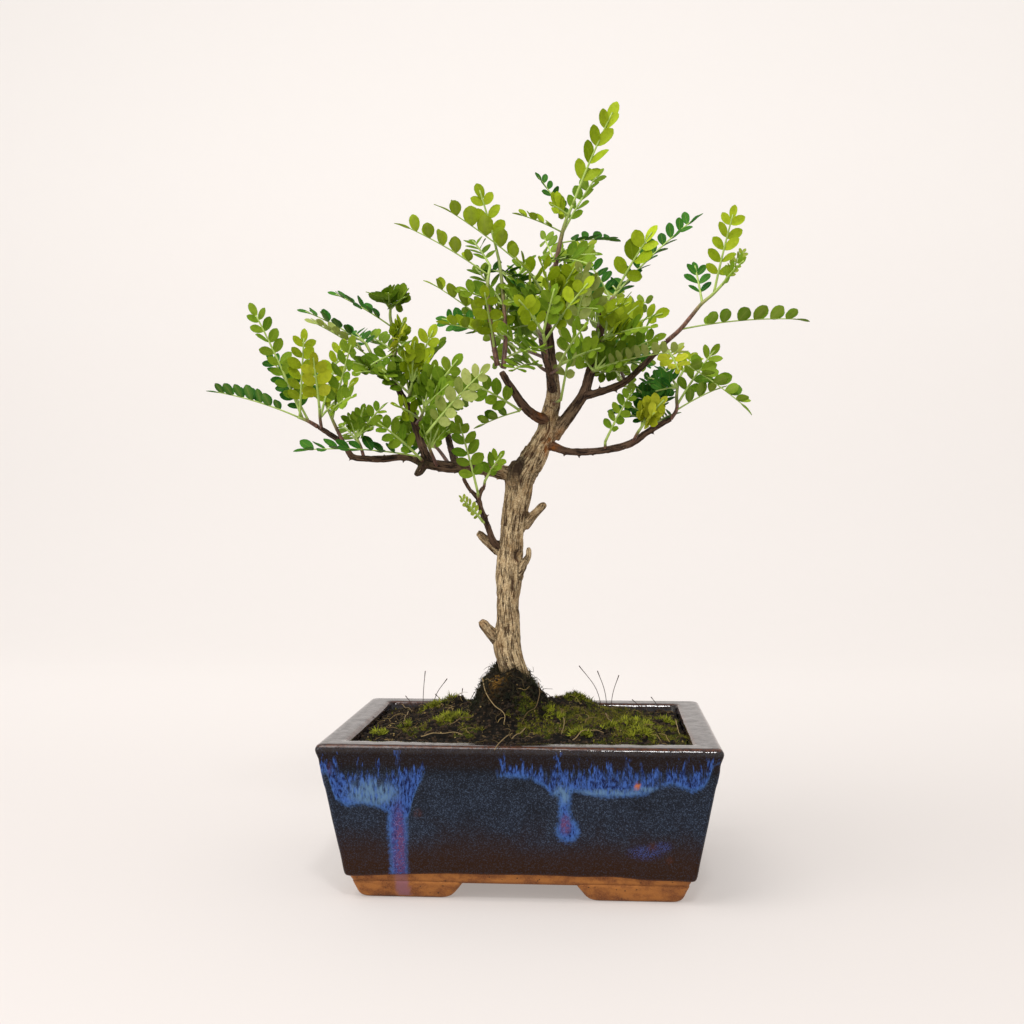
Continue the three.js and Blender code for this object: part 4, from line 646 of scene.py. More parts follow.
def make_soil_finish():
    """Black-brown crumbs under a patchy skin of yellow-green moss."""
    finish = Finish("soil")
    spot = finish.place()
    lumps = finish.noise(spot, 3.2, 5, 0.65)
    grit = finish.noise(spot, 0.9, 3, 0.7)
    earth = finish.mix(finish.step(lumps, 0.4, 0.66), "060504", "1c160e")
    earth = finish.mix(finish.step(grit, 0.62, 0.74, 0, 0.5), earth, "453620")
    golden = finish.times(finish.field("bald"), finish.step(lumps, 0.3, 0.6))
    earth = finish.mix(golden, earth, "8a6428")
    moss = finish.mix(finish.step(grit, 0.35, 0.7), "0f1404", "454a0e")
    patch = finish.plus(finish.field("moss"), finish.minus(lumps, 0.5))
    colour = finish.mix(finish.step(patch, 0.35, 0.6), earth, moss)
    height = finish.plus(lumps, finish.times(grit, 0.4))
    return finish.done(finish.surface(colour, 0.95, finish.bump(height, 1.2, 1.0),
                                      Specular_IOR_Level=0.12))


def make_bits_finish(name, dark, light, roughness=0.8):
    """Small loose things: every copy has its own shade between two colours."""
    finish = Finish(name)
    shade = finish.plus(finish.times(finish.field("grain"), 0.8),
                        finish.times(finish.noise(finish.place(), 1.0), 0.2))
    colour = finish.mix(shade, dark, light)
    return finish.done(finish.surface(colour, roughness, finish.bump(shade, 0.1, 0.5),
                                      Specular_IOR_Level=0.25))


def make_screen_finish():
    """Black moulded netting."""
    finish = Finish("netting")
    grain = finish.noise(finish.place(), 0.5)
    colour = finish.mix(grain, "161616", "2e2e2e")
    return finish.done(finish.surface(colour, 0.6, finish.bump(grain, 0.05)))


LIMB_STEP = 1.2
LIMB_SIDES = 20
WOOD_VOXEL = 0.6
SPUR = dict(spacing=8.5, radius=0.75, length=1.5)
STUMPS = ("fork_stump", "shoulder_stump", "stub_left", "stub_right", "stub_knee", "stub_low")
DARK_STUMPS = ("fork_stump",)
# The share of its radius that a stump loses at its weathered end
BLUNT = 0.4
CRAGS = dict(trunk=0.72, twig=0.22, lumps=0.08)
# Limbs' bark patterns start this far apart, and points are matched to limbs in blocks of this many
BARK_SHIFT, BLOCK = 37.0, 4000
# The middle of the pale main fork, and of the mossy burl
MAIN_FORK, BURL = (-16, -3, 218), (-57, -24, 219)
# Rust-coloured bark and the oval scar of an old branch, as (x, y, z, reach)
RUSTY = ((14, -5, 236, 6), (13, -6, 228, 4), (8, -6, 250, 5))
SCAR = (-6.5, -7, 171, 3.0)


def limb_tracks():
    """Every limb's name and its densely sampled points with their radii."""
    tracks = []
    for name, points in LIMBS.items():
        line = np.array(points, float)
        count = max(4, int(line_length(line[:, :3]) / LIMB_STEP))
        track = smooth_path(line, np.linspace(0, 1, count))
        if name in STUMPS:
            track[:, 3] *= 1 - BLUNT * smooth_step(np.linspace(0, 1, count), 0.87, 1)
        tracks.append((name, track))
    return tracks


def spurs(track, seed):
    """Small bud spurs and nodes along a branch."""
    made = []
    count = int(line_length(track[:, :3]) / SPUR["spacing"])
    for k in range(1, count):
        spot = track[int(k / count * (len(track) - 1))]
        turn = fixed_draw(seed + k) * 2 * math.pi
        ahead = track[min(int(k / count * (len(track) - 1)) + 1, len(track) - 1), :3] - spot[:3]
        outward = np.cross(ahead, (math.cos(turn), math.sin(turn), 0.3))
        outward = outward / np.linalg.norm(outward) + 0.5 * ahead / np.linalg.norm(ahead)
        reach = spot[3] + SPUR["length"] * (0.4 + fixed_draw(seed + k + 0.5))
        stations = np.linspace(0, 1, 4)[:, None]
        points = spot[:3] + outward * reach * stations
        made.append(tube(points, SPUR["radius"] * (1.5 - stations[:, 0]), 8, (0.2, 0.9, 0.1)))
    return made


def nearest_limb(points, tracks):
    """For every point: its place on the nearest limb as (x, y, along), and that limb's facts."""
    samples = np.vstack([track for _, track in tracks])
    along = np.concatenate([
        np.concatenate(([0], np.cumsum(np.linalg.norm(np.diff(track[:, :3], axis=0), axis=1))))
        + BARK_SHIFT * number for number, (_, track) in enumerate(tracks)])
    share = np.concatenate([np.linspace(0, 1, len(track)) for _, track in tracks])
    is_stump, is_dark = (np.concatenate([np.full(len(track), name in group) for name, track in tracks])
                         for group in (STUMPS, DARK_STUMPS))
    ways = np.vstack([np.gradient(track[:, :3], axis=0) for _, track in tracks])
    ways /= np.linalg.norm(ways, axis=1, keepdims=True)
    nearest = np.empty(len(points), int)
    for start in range(0, len(points), BLOCK):
        block = points[start:start + BLOCK]
        away = np.linalg.norm(block[:, None] - samples[None, :, :3], axis=2) - samples[None, :, 3]
        nearest[start:start + BLOCK] = away.argmin(axis=1)
    offset = points - samples[nearest, :3]
    way = ways[nearest]
    offset -= way * (offset * way).sum(axis=1, keepdims=True)
    side = np.cross(way, (0.0, 1.0, 0.0))
    side /= np.linalg.norm(side, axis=1, keepdims=True)
    other = np.cross(side, way)
    bark_place = np.stack([(offset * side).sum(axis=1), (offset * other).sum(axis=1), along[nearest]],
                          axis=1)
    return bark_place, samples[nearest, 3], is_stump[nearest], is_dark[nearest], share[nearest]


def nearby(points, place, square):
    """One at a place and less round it, by the square of a reach."""
    return np.exp(-((points - place)**2).sum(axis=1) / square)


def make_tree(finish):
    """Trunk and branches grown together, with fissured bark, spurs and sawn stumps."""
    tracks = limb_tracks()
    parts = [tube(track[:, :3], track[:, 3], LIMB_SIDES) for _, track in tracks]
    for number, (name, track) in enumerate(tracks):
        if name != "trunk" and name not in STUMPS:
            parts += spurs(track, 100 * number)
    tree = new_piece("tree_wood", *merged(parts))
    join = tree.modifiers.new("Grow together", "REMESH")
    join.mode = "VOXEL"
    join.voxel_size = WOOD_VOXEL * MM
    soften = tree.modifiers.new("Soften", "SMOOTH")
    soften.factor = 0.5
    soften.iterations = 4
    mesh = plain_mesh(tree)
    points = mesh_points(mesh)
    bark_place, radius, is_stump, is_dark, share = nearest_limb(points, tracks)
    girth = np.where(is_stump, 0.8, smooth_step(radius, 2.9, 4.9))
    girth = np.maximum(girth, 0.7 * nearby(points, MAIN_FORK, 120))
    fissures = 1 - np.abs(value_noise(bark_place * (1, 1, 0.16), 1.5))
    ridges = value_noise(bark_place * (1, 1, 0.3), 3.0)
    lumps = value_noise(points, 8.0) * CRAGS["lumps"] * radius
    depth = CRAGS["twig"] + (CRAGS["trunk"] - CRAGS["twig"]) * girth
    height = lumps + depth * (0.6 * ridges - fissures**6) + 0.12 * value_noise(points, 1.6)
    scar_x, scar_z = points[:, 0] - SCAR[0], (points[:, 2] - SCAR[2]) * 0.7
    scar = np.hypot(scar_x, scar_z) / SCAR[3] + 10 * (points[:, 1] > 0)
    height += 1.1 * np.exp(-((scar - 1) / 0.28)**2) - 0.9 * smooth_step(scar, 0.8, 0.2)
    normals = np.empty(3 * len(points))
    mesh.vertex_normals.foreach_get("vector", normals)
    move_points(mesh, points + normals.reshape(-1, 3) * height[:, None])
    store(mesh, "bark_place", bark_place)
    store(mesh, "girth", girth)
    sawn = (is_stump & (share > 0.93)) * smooth_step(value_noise(points, 3), -0.9, 0.1)
    store(mesh, "cut", np.clip(0.75 * sawn + 0.45 * smooth_step(scar, 0.75, 0.35), 0, 1))
    rusty = sum(nearby(points, spot[:3], spot[3]**2) for spot in RUSTY)
    store(mesh, "rusty", np.clip(rusty + 0.15 * girth, 0, 1))
    store(mesh, "shade", is_dark * smooth_step(share, 0.1, 0.6))
    foot = smooth_step(points[:, 2], 112, 101)
    store(mesh, "mossy", np.clip(foot + nearby(points, BURL, 40), 0, 1))
    mesh.materials.append(finish)
    mesh.shade_smooth()
    settle(tree, "bark", "tree")


# A leaflet's half outline as (share of length, share of half width), and how its blade is folded
# up at the sides, curled down along its length and twisted: one row for each shape of copy
LEAFLET_ROWS = ((0, 0.1), (0.1, 0.46), (0.28, 0.84), (0.5, 1.0), (0.7, 0.95), (0.88, 0.66), (1.0, 0.14))
LEAFLET_SHAPES = (dict(fold=0.06, curl=0.05, twist=0.0), dict(fold=0.02, curl=0.12, twist=0.1),
                  dict(fold=0.1, curl=-0.06, twist=-0.08))
SHAPE_SLOTS = ("Shape A", "Shape B", "Shape C")
BLADE_THICKNESS = 0.035
TONES = {
    "bright": ("8ea612", "b8ca2c"),
    "mid": ("68901a", "90ac2c"),
    "dark": ("22661c", "4a882c"),
    "yellow": ("aeb81e", "ced23c"),
    "pale": ("98a84c", "bcc676"),
    "young": ("a6b83a", "c2ce5c"),
}
# Leaflets stand this share of their length apart, and are this share of it wide
SPACING = dict(long=0.8, round=0.92, plain=0.76)
WIDTH = dict(long=0.54, round=0.68, plain=0.58)
LONG_FROM, ROUND_FROM = 11.5, 8.2
PAIRS = (3, 8)
# How far leaflets lean forward at a frond's foot and more at its end, and how much they outgrow
# the solids' leaflets if those are small
LEAN = (0.5, 0.3)
LONG_LEAN = 0.38
GROWN = 1.12
RIB = dict(foot=0.8, tip=0.42, flatness=0.6, stations=16)
SHOOT_TIP, SHOOT_SIDES = 0.75, 8
# In millimetres: how much nearer to its solid's corners a later turn of a frond has to end to be
# taken, and how far off is told
NEARER, FAR_OFF = 1e-3, 1.0
# Shorter fronds beside every frond inside the crown: how far turned about COMPANION_AXIS, and
# their share of its length
COMPANIONS = ((0.8, 0.74), (-0.75, 0.66), (1.7, 0.56))
COMPANION_AXIS = Vector((0.2, -0.6, 0.77))
CROWN_LOW, CROWN_HIGH = (-98, -46, 240), (84, 46, 345)
LONE_SPRAYS = ("low_right_small", "left_upper_fall", "left_row")


def leaflet_shape(name, fold, curl, twist):
    """A thin closed leaflet along +Y, one long, half one wide each side, its face up."""
    points, across, along, under = [], [], [], []
    for below in (0, 1):
        for share, half in LEAFLET_ROWS:
            for side in ((-1, 0, 1) if not below else (0,)):
                x = side * half
                z = fold * (abs(x) - 0.5) * half - curl * share * share + twist * x * share
                points.append((x / 2, share, z - BLADE_THICKNESS * below))
                across.append(x)
                along.append(share)
                under.append(below)
    rows = len(LEAFLET_ROWS)
    bottom = 3 * rows
    faces = []
    for row in range(rows - 1):
        left, middle, right = (3 * row + k for k in range(3))
        up_left, up_middle, up_right = left + 3, middle + 3, right + 3
        low, up_low = bottom + row, bottom + row + 1
        faces += [(left, middle, up_middle, up_left), (middle, right, up_right, up_middle),
                  (low, left, up_left, up_low), (right, low, up_low, up_right)]
    top = 3 * (rows - 1)
    faces += [(0, bottom, 2, 1), (top, top + 1, top + 2, bottom + rows - 1)]
    mesh = bpy.data.meshes.new(name)
    mesh.from_pydata(points, [], faces)
    mesh.shade_smooth()
    mesh.set_sharp_from_angle(angle=math.radians(50))
    for label, values in (("across", across), ("along", along), ("under", under)):
        store(mesh, label, values)
    return bpy.data.objects.new(name, mesh)


def placing_group():
    """Geometry nodes that set turned, sized copies of three shapes on an object's points."""
    group = Group("Place copies", (("Points", "Geometry"), *((slot, "Object") for slot in SHAPE_SLOTS),
                                   ("Size", "Float"), ("Finish", "Material")))
    shapes = group.add("GeometryNodeGeometryToInstance")
    for slot in SHAPE_SLOTS:
        shape = group.add("GeometryNodeObjectInfo", {"Object": group.given[slot]}, "Geometry")
        group.tree.links.new(shape, shapes.node.inputs[0])
    turn, size = group.field("turn", "QUATERNION"), group.field("size", "FLOAT_VECTOR")
    sized = group.add("ShaderNodeVectorMath", {0: size, "Scale": group.given["Size"]}, operation="SCALE")
    return group.done(group.add("GeometryNodeInstanceOnPoints", {
        "Points": group.given["Points"], "Instance": shapes, "Pick Instance": True,
        "Instance Index": group.field("pick", "INT"), "Rotation": turn, "Scale": sized}))


def turn_to(axis, normal):
    """The turn that lays a shape's +Y along axis with its face towards normal."""
    axis = axis.normalized()
    across = axis.cross(normal).normalized()
    return Matrix((across, axis, across.cross(axis))).transposed().to_quaternion()


def placed_copies(name, rows, shapes, group, finish):
    """Copies of the shapes at rows of (point, turn, (x, y, z) size, pick, colour)."""
    points, turns, sizes, picks, colours = zip(*rows)
    piece = new_piece(name, points, [])
    for label, values in (("turn", turns), ("size", np.array(sizes) * MM), ("leaf_colour", colours)):
        store(piece.data, label, values)
    piece.data.attributes.new("pick", "INT", "POINT").data.foreach_set("value", picks)
    mesh = group.work_in(piece, {**dict(zip(SHAPE_SLOTS, shapes)), "Size": 1.0, "Finish": finish})
    for label in ("turn", "size", "pick"):
        mesh.attributes.remove(mesh.attributes[label])
    return piece


def frond_line(root, entry, turn, index):
    """A frond's bent midrib, length and the way its upper face looks, by the solids' rule."""
    _, x, y, z, face, _, _ = entry
    dy, dz, dx = turn
    tip = Vector((x + dx, y + dy, z + dz))
    chord = tip - root
    length = chord.length
    along = chord.normalized()
    up = Vector((0, 0, 1))
    middle = (root + tip) / 2 + (up - along * up.dot(along)) * FROND["arch"] * length
    roll = (fixed_draw(index) - 0.5) * 2 * FROND["roll"]
    normal, fold = FACES[face]
    facing = Matrix.Rotation(roll, 3, along) @ Vector(normal)
    return root, middle, tip, length, facing, fold


def on_line(line, t):
    """Point, tangent and upper normal of a frond's midrib."""
    root, middle, tip, _, facing, _ = line
    point = root * (1 - t)**2 + middle * 2 * t * (1 - t) + tip * t * t
    tangent = ((middle - root) * (1 - t) + (tip - middle) * t).normalized()
    return point, tangent, (facing - tangent * facing.dot(tangent)).normalized()


def last_leaflet_tip(line, leaflet):
    point, tangent, normal = on_line(line, 1 - FROND["last"])
    return point + tangent * max(leaflet, line[3] * FROND["last"]), normal * FROND["half_thickness"]


def set_frond(root, entry, index, corners):
    """The frond as its solid was set: the turn whose last tip is a corner of that solid."""
    best = None
    for turn in TURNS:
        line = frond_line(root, entry, turn, index)
        tip, half = last_leaflet_tip(line, entry[6])
        miss = corners.find(tip + half)[2] + corners.find(tip - half)[2]
        if best is None or miss < best[0] - NEARER:
            best = (miss, line)
    return best


def frond_leaflets(line, entry, index, wobble):
    """Rows for the leaflets of one frond: pairs along the midrib and one at its end."""
    _, _, _, length, _, fold = line
    leaflet, tone = entry[6], entry[5]
    kind = "long" if leaflet > LONG_FROM else "round" if leaflet > ROUND_FROM else "plain"
    bare = FROND["stalk"]
    last = min(max(FROND["last"], leaflet / length), 0.3)
    pairs = round(length * (1 - bare - last) / (leaflet * SPACING[kind]))
    pairs = min(max(pairs, PAIRS[0]), PAIRS[1])
    low, high = (np.array(srgb(code)) for code in TONES[tone])
    rows = []

    def add(point, axis, normal, reach, width, share):
        pick = int(wobble.random() * 3)
        shade = np.clip(0.35 + 0.5 * share + wobble.normal(0, 0.28), -0.2, 1.3)
        colour = np.clip((low + (high - low) * shade) * (1 + wobble.normal(0, 0.07)), 0, 1)
        rows.append((point, turn_to(axis, normal), (width, reach, reach), pick, colour))

    for k in range(pairs):
        t = bare + (1 - bare - last) * (k + 0.6) / pairs
        grown = 0.84 + 0.22 * math.sin(math.pi * (k + 0.6) / pairs)
        for sign in (1, -1):
            point, tangent, normal = on_line(line, t + wobble.normal(0, 0.004))
            side = normal.cross(tangent)
            reach = leaflet * grown * (GROWN if kind == "plain" else 1) * (1 + wobble.normal(0, 0.05))
            width = reach * WIDTH[kind] * (1 + wobble.normal(0, 0.06))
            bend = fold + wobble.normal(0, 0.16)
            lean = LEAN[0] + LEAN[1] * t + wobble.normal(0, 0.09) + LONG_LEAN * (kind == "long")
            outward = side * sign * math.cos(bend) + normal * math.sin(bend)
            face = normal * math.cos(bend) - side * sign * math.sin(bend)
            axis = outward * math.cos(lean) + tangent * math.sin(lean)
            face = Matrix.Rotation(wobble.normal(0, 0.22), 3, axis) @ face
            add(point + side * sign * RIB["tip"] * 0.6, axis, face, reach, width, t)
    point, tangent, normal = on_line(line, 1 - last)
    reach = length * last
    normal = Matrix.Rotation(0.5 - fixed_draw(index + 7), 3, tangent) @ normal
    add(point, tangent, normal, reach, reach * WIDTH[kind] * 0.9, 1.0)
    return rows


def companions(line):
    """Shorter fronds from the same foot, if this one and they end inside the crown."""
    root, middle, tip, length, facing, fold = line
    for turn, share in COMPANIONS:
        spin = Matrix.Rotation(turn, 3, COMPANION_AXIS)
        end = root + spin @ (tip - root) * share
        if all(low < place < high for spot in (tip, end)
               for low, place, high in zip(CROWN_LOW, spot, CROWN_HIGH)):
            yield root, root + spin @ (middle - root) * share, end, length * share, spin @ facing, fold


def rib_tube(line):
    """A frond's flattened midrib, thinner towards its end."""
    shares = np.linspace(0, 1 - FROND["last"] * 0.9, RIB["stations"])
    points = np.array([on_line(line, t)[0] for t in shares])
    radii = RIB["foot"] + (RIB["tip"] - RIB["foot"]) * shares
    return tube(points, radii, 6, tuple(on_line(line, 0)[2]), RIB["flatness"])


def make_spray(name, first, shapes, group, leaf, stalk):
    """One leafy shoot, its fronds numbered from first: its stem, midribs and all its leaflets."""
    radius, stem, fronds = SPRAYS[name]
    node = "spray_" + name
    corners_at = mesh_points(frame["nodes"][node].data)
    corners = kdtree.KDTree(len(corners_at))
    for i, corner in enumerate(corners_at):
        corners.insert(corner, i)
    corners.balance()
    wobble = np.random.default_rng(first)
    shares = np.linspace(0, 1, 5 * len(stem))
    parts = [tube(smooth_path(stem, shares), radius + (SHOOT_TIP - radius) * shares, SHOOT_SIDES)]
    woody = [np.repeat(1 - smooth_step(shares, 0.35, 0.95), SHOOT_SIDES)]
    rows = []
    worst = 0.0
    for index, entry in enumerate(fronds, first):
        root = Vector(smooth_path(stem, entry[0])[0])
        miss, line = set_frond(root, entry, index, corners)
        worst = max(worst, miss)
        others = () if name in LONE_SPRAYS else companions(line)
        for one in (line, *others):
            rows += frond_leaflets(one, entry, index, wobble)
            rib = rib_tube(one)
            parts.append(rib)
            woody.append(np.zeros(len(rib[0])))
    if worst > FAR_OFF:
        print("frond not on its solid:", name, round(worst, 2))
    blades = placed_copies(node + "_leaflets", rows, shapes, group, leaf)
    stalks = new_piece(node + "_stalks", *merged(parts), (stalk,), {"woody": np.concatenate(woody)})
    slot = next(part["material_slot"] for part in frame["record"]["subparts"] if part["node"] == node)
    settle(blades, slot, node)
    settle(stalks, slot, node)


def make_sprays(leaf, stalk):
    shapes = [leaflet_shape(f"leaflet_shape_{k}", **shape) for k, shape in enumerate(LEAFLET_SHAPES)]
    group = placing_group()
    first = 1
    for name, (_, _, fronds) in SPRAYS.items():
        make_spray(name, first, shapes, group, leaf, stalk)
        first += len(fronds)
    for shape in shapes:
        bpy.data.objects.remove(shape)


# The tray's outside as (height, inset from the lip's edge), from its underside to its lip, and on
# over the lip and down the inside
BAND_PROFILE = ((9, 16.6), (9.6, 16), (11, 15.2), (13.3, 14.4))
GLAZE_PROFILE = ((13.3, 14.4), (13.0, 13.6), (13.4, 12.9), (14.3, 12.4), (15.8, 12.0))
BEAD_PROFILE = ((72.5, 1.6), (74, 1.3), (75.5, 0.8), (77, 0.3), (78.2, 0.05), (79.1, 0.1), (79.9, 0.4),
                (80.6, 0.9), (81.1, 1.6), (81.5, 2.8))
LIP_PROFILE = ((81.5, 5), (81.5, 8.5), (81.5, 12), (81.2, 13.4), (80.4, 14.2), (79, 14.6), (60, 17.4),
               (40, 20.2), (17, 23.5))
WALL_STEPS = 40
TRAY_STEPS = dict(long=150, short=100, corner=8)
# A foot's levels as (height, inset)
FOOT_LEVELS = ((0, 1.9), (0.3, 1.1), (0.9, 0.5), (1.8, 0.15), (3, 0), (4.5, 0), (6, 0), (7.5, 0), (8.5, 0),
               (9.3, 0.3), (10, 1.2))
FOOT_STEPS = dict(long=30, short=22, corner=6)
# The blue run on the front as (x, height of its lower edge) and (x, height of its crest), with no
# run where the edge is over the crest
FRONT_EDGE = ((-95.4, 66.8), (-92, 53.6), (-86.4, 49.9), (-78.1, 51.1), (-71.2, 49.9), (-63.6, 46.3),
              (-55.6, 43), (-54.3, 47), (-52.5, 53.7), (-50.3, 59.7), (-46.6, 66.6), (-45.2, 70),
              (-44, 80), (-13, 80), (-10.3, 66),
              (-2, 66), (6.3, 65.3), (13.2, 61.6), (17.4, 56.5), (26.4, 59.4), (31.2, 58.7), (36.8, 57.2),
              (43.7, 56.2), (50.6, 56.8), (57.5, 57.2), (63.1, 58), (67.2, 60.2), (71.4, 62.4),
              (76.9, 63.1), (83.8, 60.9), (86.6, 59.4), (92.1, 62.4), (94.9, 68.2), (96.3, 74))
FRONT_CREST = ((-95, 73), (-90, 71), (-86, 65), (-80, 67), (-74, 66), (-66, 66), (-60, 69), (-50, 71),
               (-44, 71), (-13, 69), (-2, 70.5), (10, 69), (31, 69), (45, 70.5), (56, 70.5), (64.5, 69),
               (72.8, 70), (80, 71.5), (92, 72), (96, 74))
# Drips as (x, half width, top, bottom), their round ends, and thin streaks as (x, half, low, high)
DRIPS = ((-60.6, 4.8, 58, 11.5), (23.4, 3.0, 62, 40))
BLOBS = ((24.8, 38.8, 5.6),)
STREAKS = ((-59.4, 1.2, 66, 80), (-91, 1.2, 66, 75), (-79.5, 0.8, 64, 74.5), (-70, 0.8, 64, 73),
           (-23.5, 0.9, 69.7, 76), (-17.2, 0.8, 67, 73.5), (-7.5, 1.3, 66, 75), (2, 0.9, 66, 73.5),
           (11, 0.8, 66, 73), (20.2, 1.3, 64, 80.7), (29, 0.8, 64, 73), (36.8, 1.2, 64, 74.5),
           (45, 1.4, 64, 74.5), (53.4, 1.2, 64, 75), (61, 0.8, 62, 72), (73, 0.8, 64, 73.5),
           (82, 1.3, 64, 76), (94.5, 1.3, 64, 76.5))
PALE_AREAS = ((-73, 57, 15, 8), (22, 57.5, 5, 5.5), (44, 58.6, 20, 2.0), (63, 60.5, 8, 2.0))
DRIP_CORE = ((-60.2, 28, 4.6, 32),)
RED_AREAS = ((-59.6, 27, 2.6, 21), (23.6, 42, 3.4, 6.0))
VIOLET_HAZE = ((63.5, 28, 10, 4.2), (72, 31, 5, 3))
BRIGHT_SPOTS = ((59.2, 62.4, 1.7),)
SPOTS = ((-50.2, 46.4, 2.6), (66.8, 31, 2.8), (75.4, 24, 2.2), (-94.3, 69, 1.6, 4))
# Height that is far inside a run's crest, for drips, which have none
DEEP = 20.0


def ring_pattern(steps):
    """Straight and round shares of a rounded rectangle's columns, all round it."""
    columns = []
    for corner, (sign_x, sign_y) in enumerate(((1, 1), (-1, 1), (-1, -1), (1, -1))):
        for step in range(steps["corner"]):
            angle = (corner + step / steps["corner"]) * math.pi / 2
            columns.append((sign_x, sign_y, math.cos(angle), math.sin(angle)))
        end_x, end_y = (round(turned((corner + 1) * math.pi / 2)) for turned in (math.cos, math.sin))
        count = steps["short"] if corner % 2 else steps["long"]
        for share in 1 - 2 * np.arange(count) / count:
            straight = (sign_x, sign_y * share) if corner % 2 else (sign_x * share, sign_y)
            columns.append((*straight, end_x, end_y))
    return np.array(columns, float).T


def ring(pattern, height, half_x, half_y, radius, middle=(0, 0)):
    """Points of a rounded rectangle at one height."""
    straight_x, straight_y, round_x, round_y = pattern
    x = middle[0] + straight_x * (half_x - radius) + radius * round_x
    y = middle[1] + straight_y * (half_y - radius) + radius * round_y
    return np.stack([x, y, np.full(len(x), float(height))], axis=1)


def drain_ring(side, height):
    """Points round the left (-1) or right (1) drain hole."""
    turn = np.arange(DRAIN["sides"]) / DRAIN["sides"] * 2 * math.pi
    return np.stack([side * DRAIN["offset"] + DRAIN["radius"] * np.cos(turn),
                     DRAIN["radius"] * np.sin(turn), np.full(len(turn), height)], axis=1)


def front_flow(x, z):
    """How far a place on the front lies inside the blue run's lower edge, and under its crest."""
    low = z - np.interp(x, *np.array(FRONT_EDGE, float).T)
    high = np.interp(x, *np.array(FRONT_CREST, float).T) - z
    for centre, half, low_end, top in STREAKS:
        streak = np.minimum(2.0 * (half - np.abs(x - centre)), top - z)
        high = np.where(z > low_end, np.maximum(high, streak), high)
    for centre, half, top, bottom in DRIPS:
        width = half * (1 + 0.3 * smooth_step(z, top - 12, top)) * (0.92 + 0.08 * np.sin(z / 5.0))
        drip = np.minimum.reduce([width - np.abs(x - centre), z - bottom, top - z])
        low, high = np.maximum(low, drip), np.where(drip > 0, DEEP, high)
    for centre, height, radius in BLOBS:
        blob = radius - np.hypot(x - centre, (z - height) * 0.9)
        low, high = np.maximum(low, blob), np.where(blob > 0, DEEP, high)
    return low, high


def side_flow(along, z, seed):
    """The same for a side that the photograph doesn't show."""
    spot = np.stack([along, np.full_like(along, seed), np.zeros_like(along)], axis=1)
    low = z - (61 + 9 * value_noise(spot, 26) + 3 * value_noise(spot, 8))
    high = 70 + 3.5 * value_noise(spot + (0, 9, 0), 7) - z
    for k in range(2):
        centre = (fixed_draw(seed + k) - 0.5) * 120
        bottom = 26 + 24 * fixed_draw(seed + k + 5)
        width = 2.4 * (1 + 0.8 * smooth_step(z, 44, 64)) * (0.9 + 0.1 * np.sin(z / 4.0 + seed))
        round_end = np.hypot(along - centre, np.minimum(z - bottom - width, 0))
        drip = np.minimum(width - round_end, 66 - z)
        low, high = np.maximum(low, drip), np.where(drip > 0, DEEP, high)
    return low, high


def soft_spots(x, z, spots):
    """One at the middle of any of the oval places, nothing outside them."""
    total = np.zeros(len(x))
    for centre, height, *reach in spots:
        reach_x, reach_z = (reach * 2)[:2]
        away = np.hypot((x - centre) / reach_x, (z - height) / reach_z)
        total = np.maximum(total, 1 - smooth_step(away, 0.45, 1.15))
    return total


def glaze_fields(points):
    """The glaze's painted fields at every point of the tray."""
    x, y, z = points.T
    on_end = np.abs(x) / TRAY["half_length"] > np.abs(y) / TRAY["half_width"] + 0.02
    on_front = (y < 0) & ~on_end
    around = ((on_front, front_flow(x, z)), (on_end & (x > 0), side_flow(y, z, 11.0)),
              (on_end & (x <= 0), side_flow(y, z, 3.0)), (~on_front & ~on_end, side_flow(x, z, 7.0)))
    low, high = (sum(side * flow[k] for side, flow in around) for k in (0, 1))
    outside = np.abs(y) > TRAY["half_width"] - TRAY["lip"]
    outside |= np.abs(x) > TRAY["half_length"] - TRAY["lip"]
    on_wall = outside & (z < 79.5)
    red = soft_spots(x, z, RED_AREAS) * on_front
    core = 0.85 * soft_spots(x, z, DRIP_CORE) * smooth_step(z, 62, 44) * on_front
    rim_line = smooth_step(z, 79.9, 80.8) * smooth_step(z, 81.45, 81.2)
    return {
        "flow": np.where(on_wall, low, -DEEP),
        "crest": np.where(on_wall, high, -DEEP),
        "pale": soft_spots(x, z, PALE_AREAS) * on_front,
        "violet": np.clip(core + red, 0, 1) * outside,
        "red": 0.65 * red,
        "haze": soft_spots(x, z, VIOLET_HAZE) * on_front,
        "brown": np.clip(smooth_step(z, 52, 24) + 0.35 * smooth_step(z, 66, 74), 0, 1),
        "veil": smooth_step(z, 18, 42) * smooth_step(z, 72, 63) * outside,
        "rim": np.clip(smooth_step(z, 77, 79.3) + ~outside, 0, 1),
        "rust": np.clip(0.75 * rim_line + 0.35 * soft_spots(x, z, SPOTS) * on_front
                        + 0.6 * smooth_step(z, 14.2, 13.4), 0, 1) * outside,
        "orange": soft_spots(x, z, BRIGHT_SPOTS) * on_front,
    }


def holed_floor(outline, height, start, drain_starts, face_up):
    """Faces of a flat floor from a ring of points to the drain holes."""
    loops = [[Vector(point) for point in outline]]
    numbers = list(range(start, start + len(outline)))
    for side, drain_start in zip((-1, 1), drain_starts):
        loops.append([Vector(point) for point in drain_ring(side, height)])
        numbers += list(range(drain_start, drain_start + DRAIN["sides"]))
    points = [point for loop in loops for point in loop]
    faces = []
    for a, b, c in tessellate_polygon(loops):
        is_up = (points[b] - points[a]).cross(points[c] - points[a]).z > 0
        order = (a, b, c) if is_up == face_up else (a, c, b)
        faces.append([numbers[i] for i in order])
    return faces


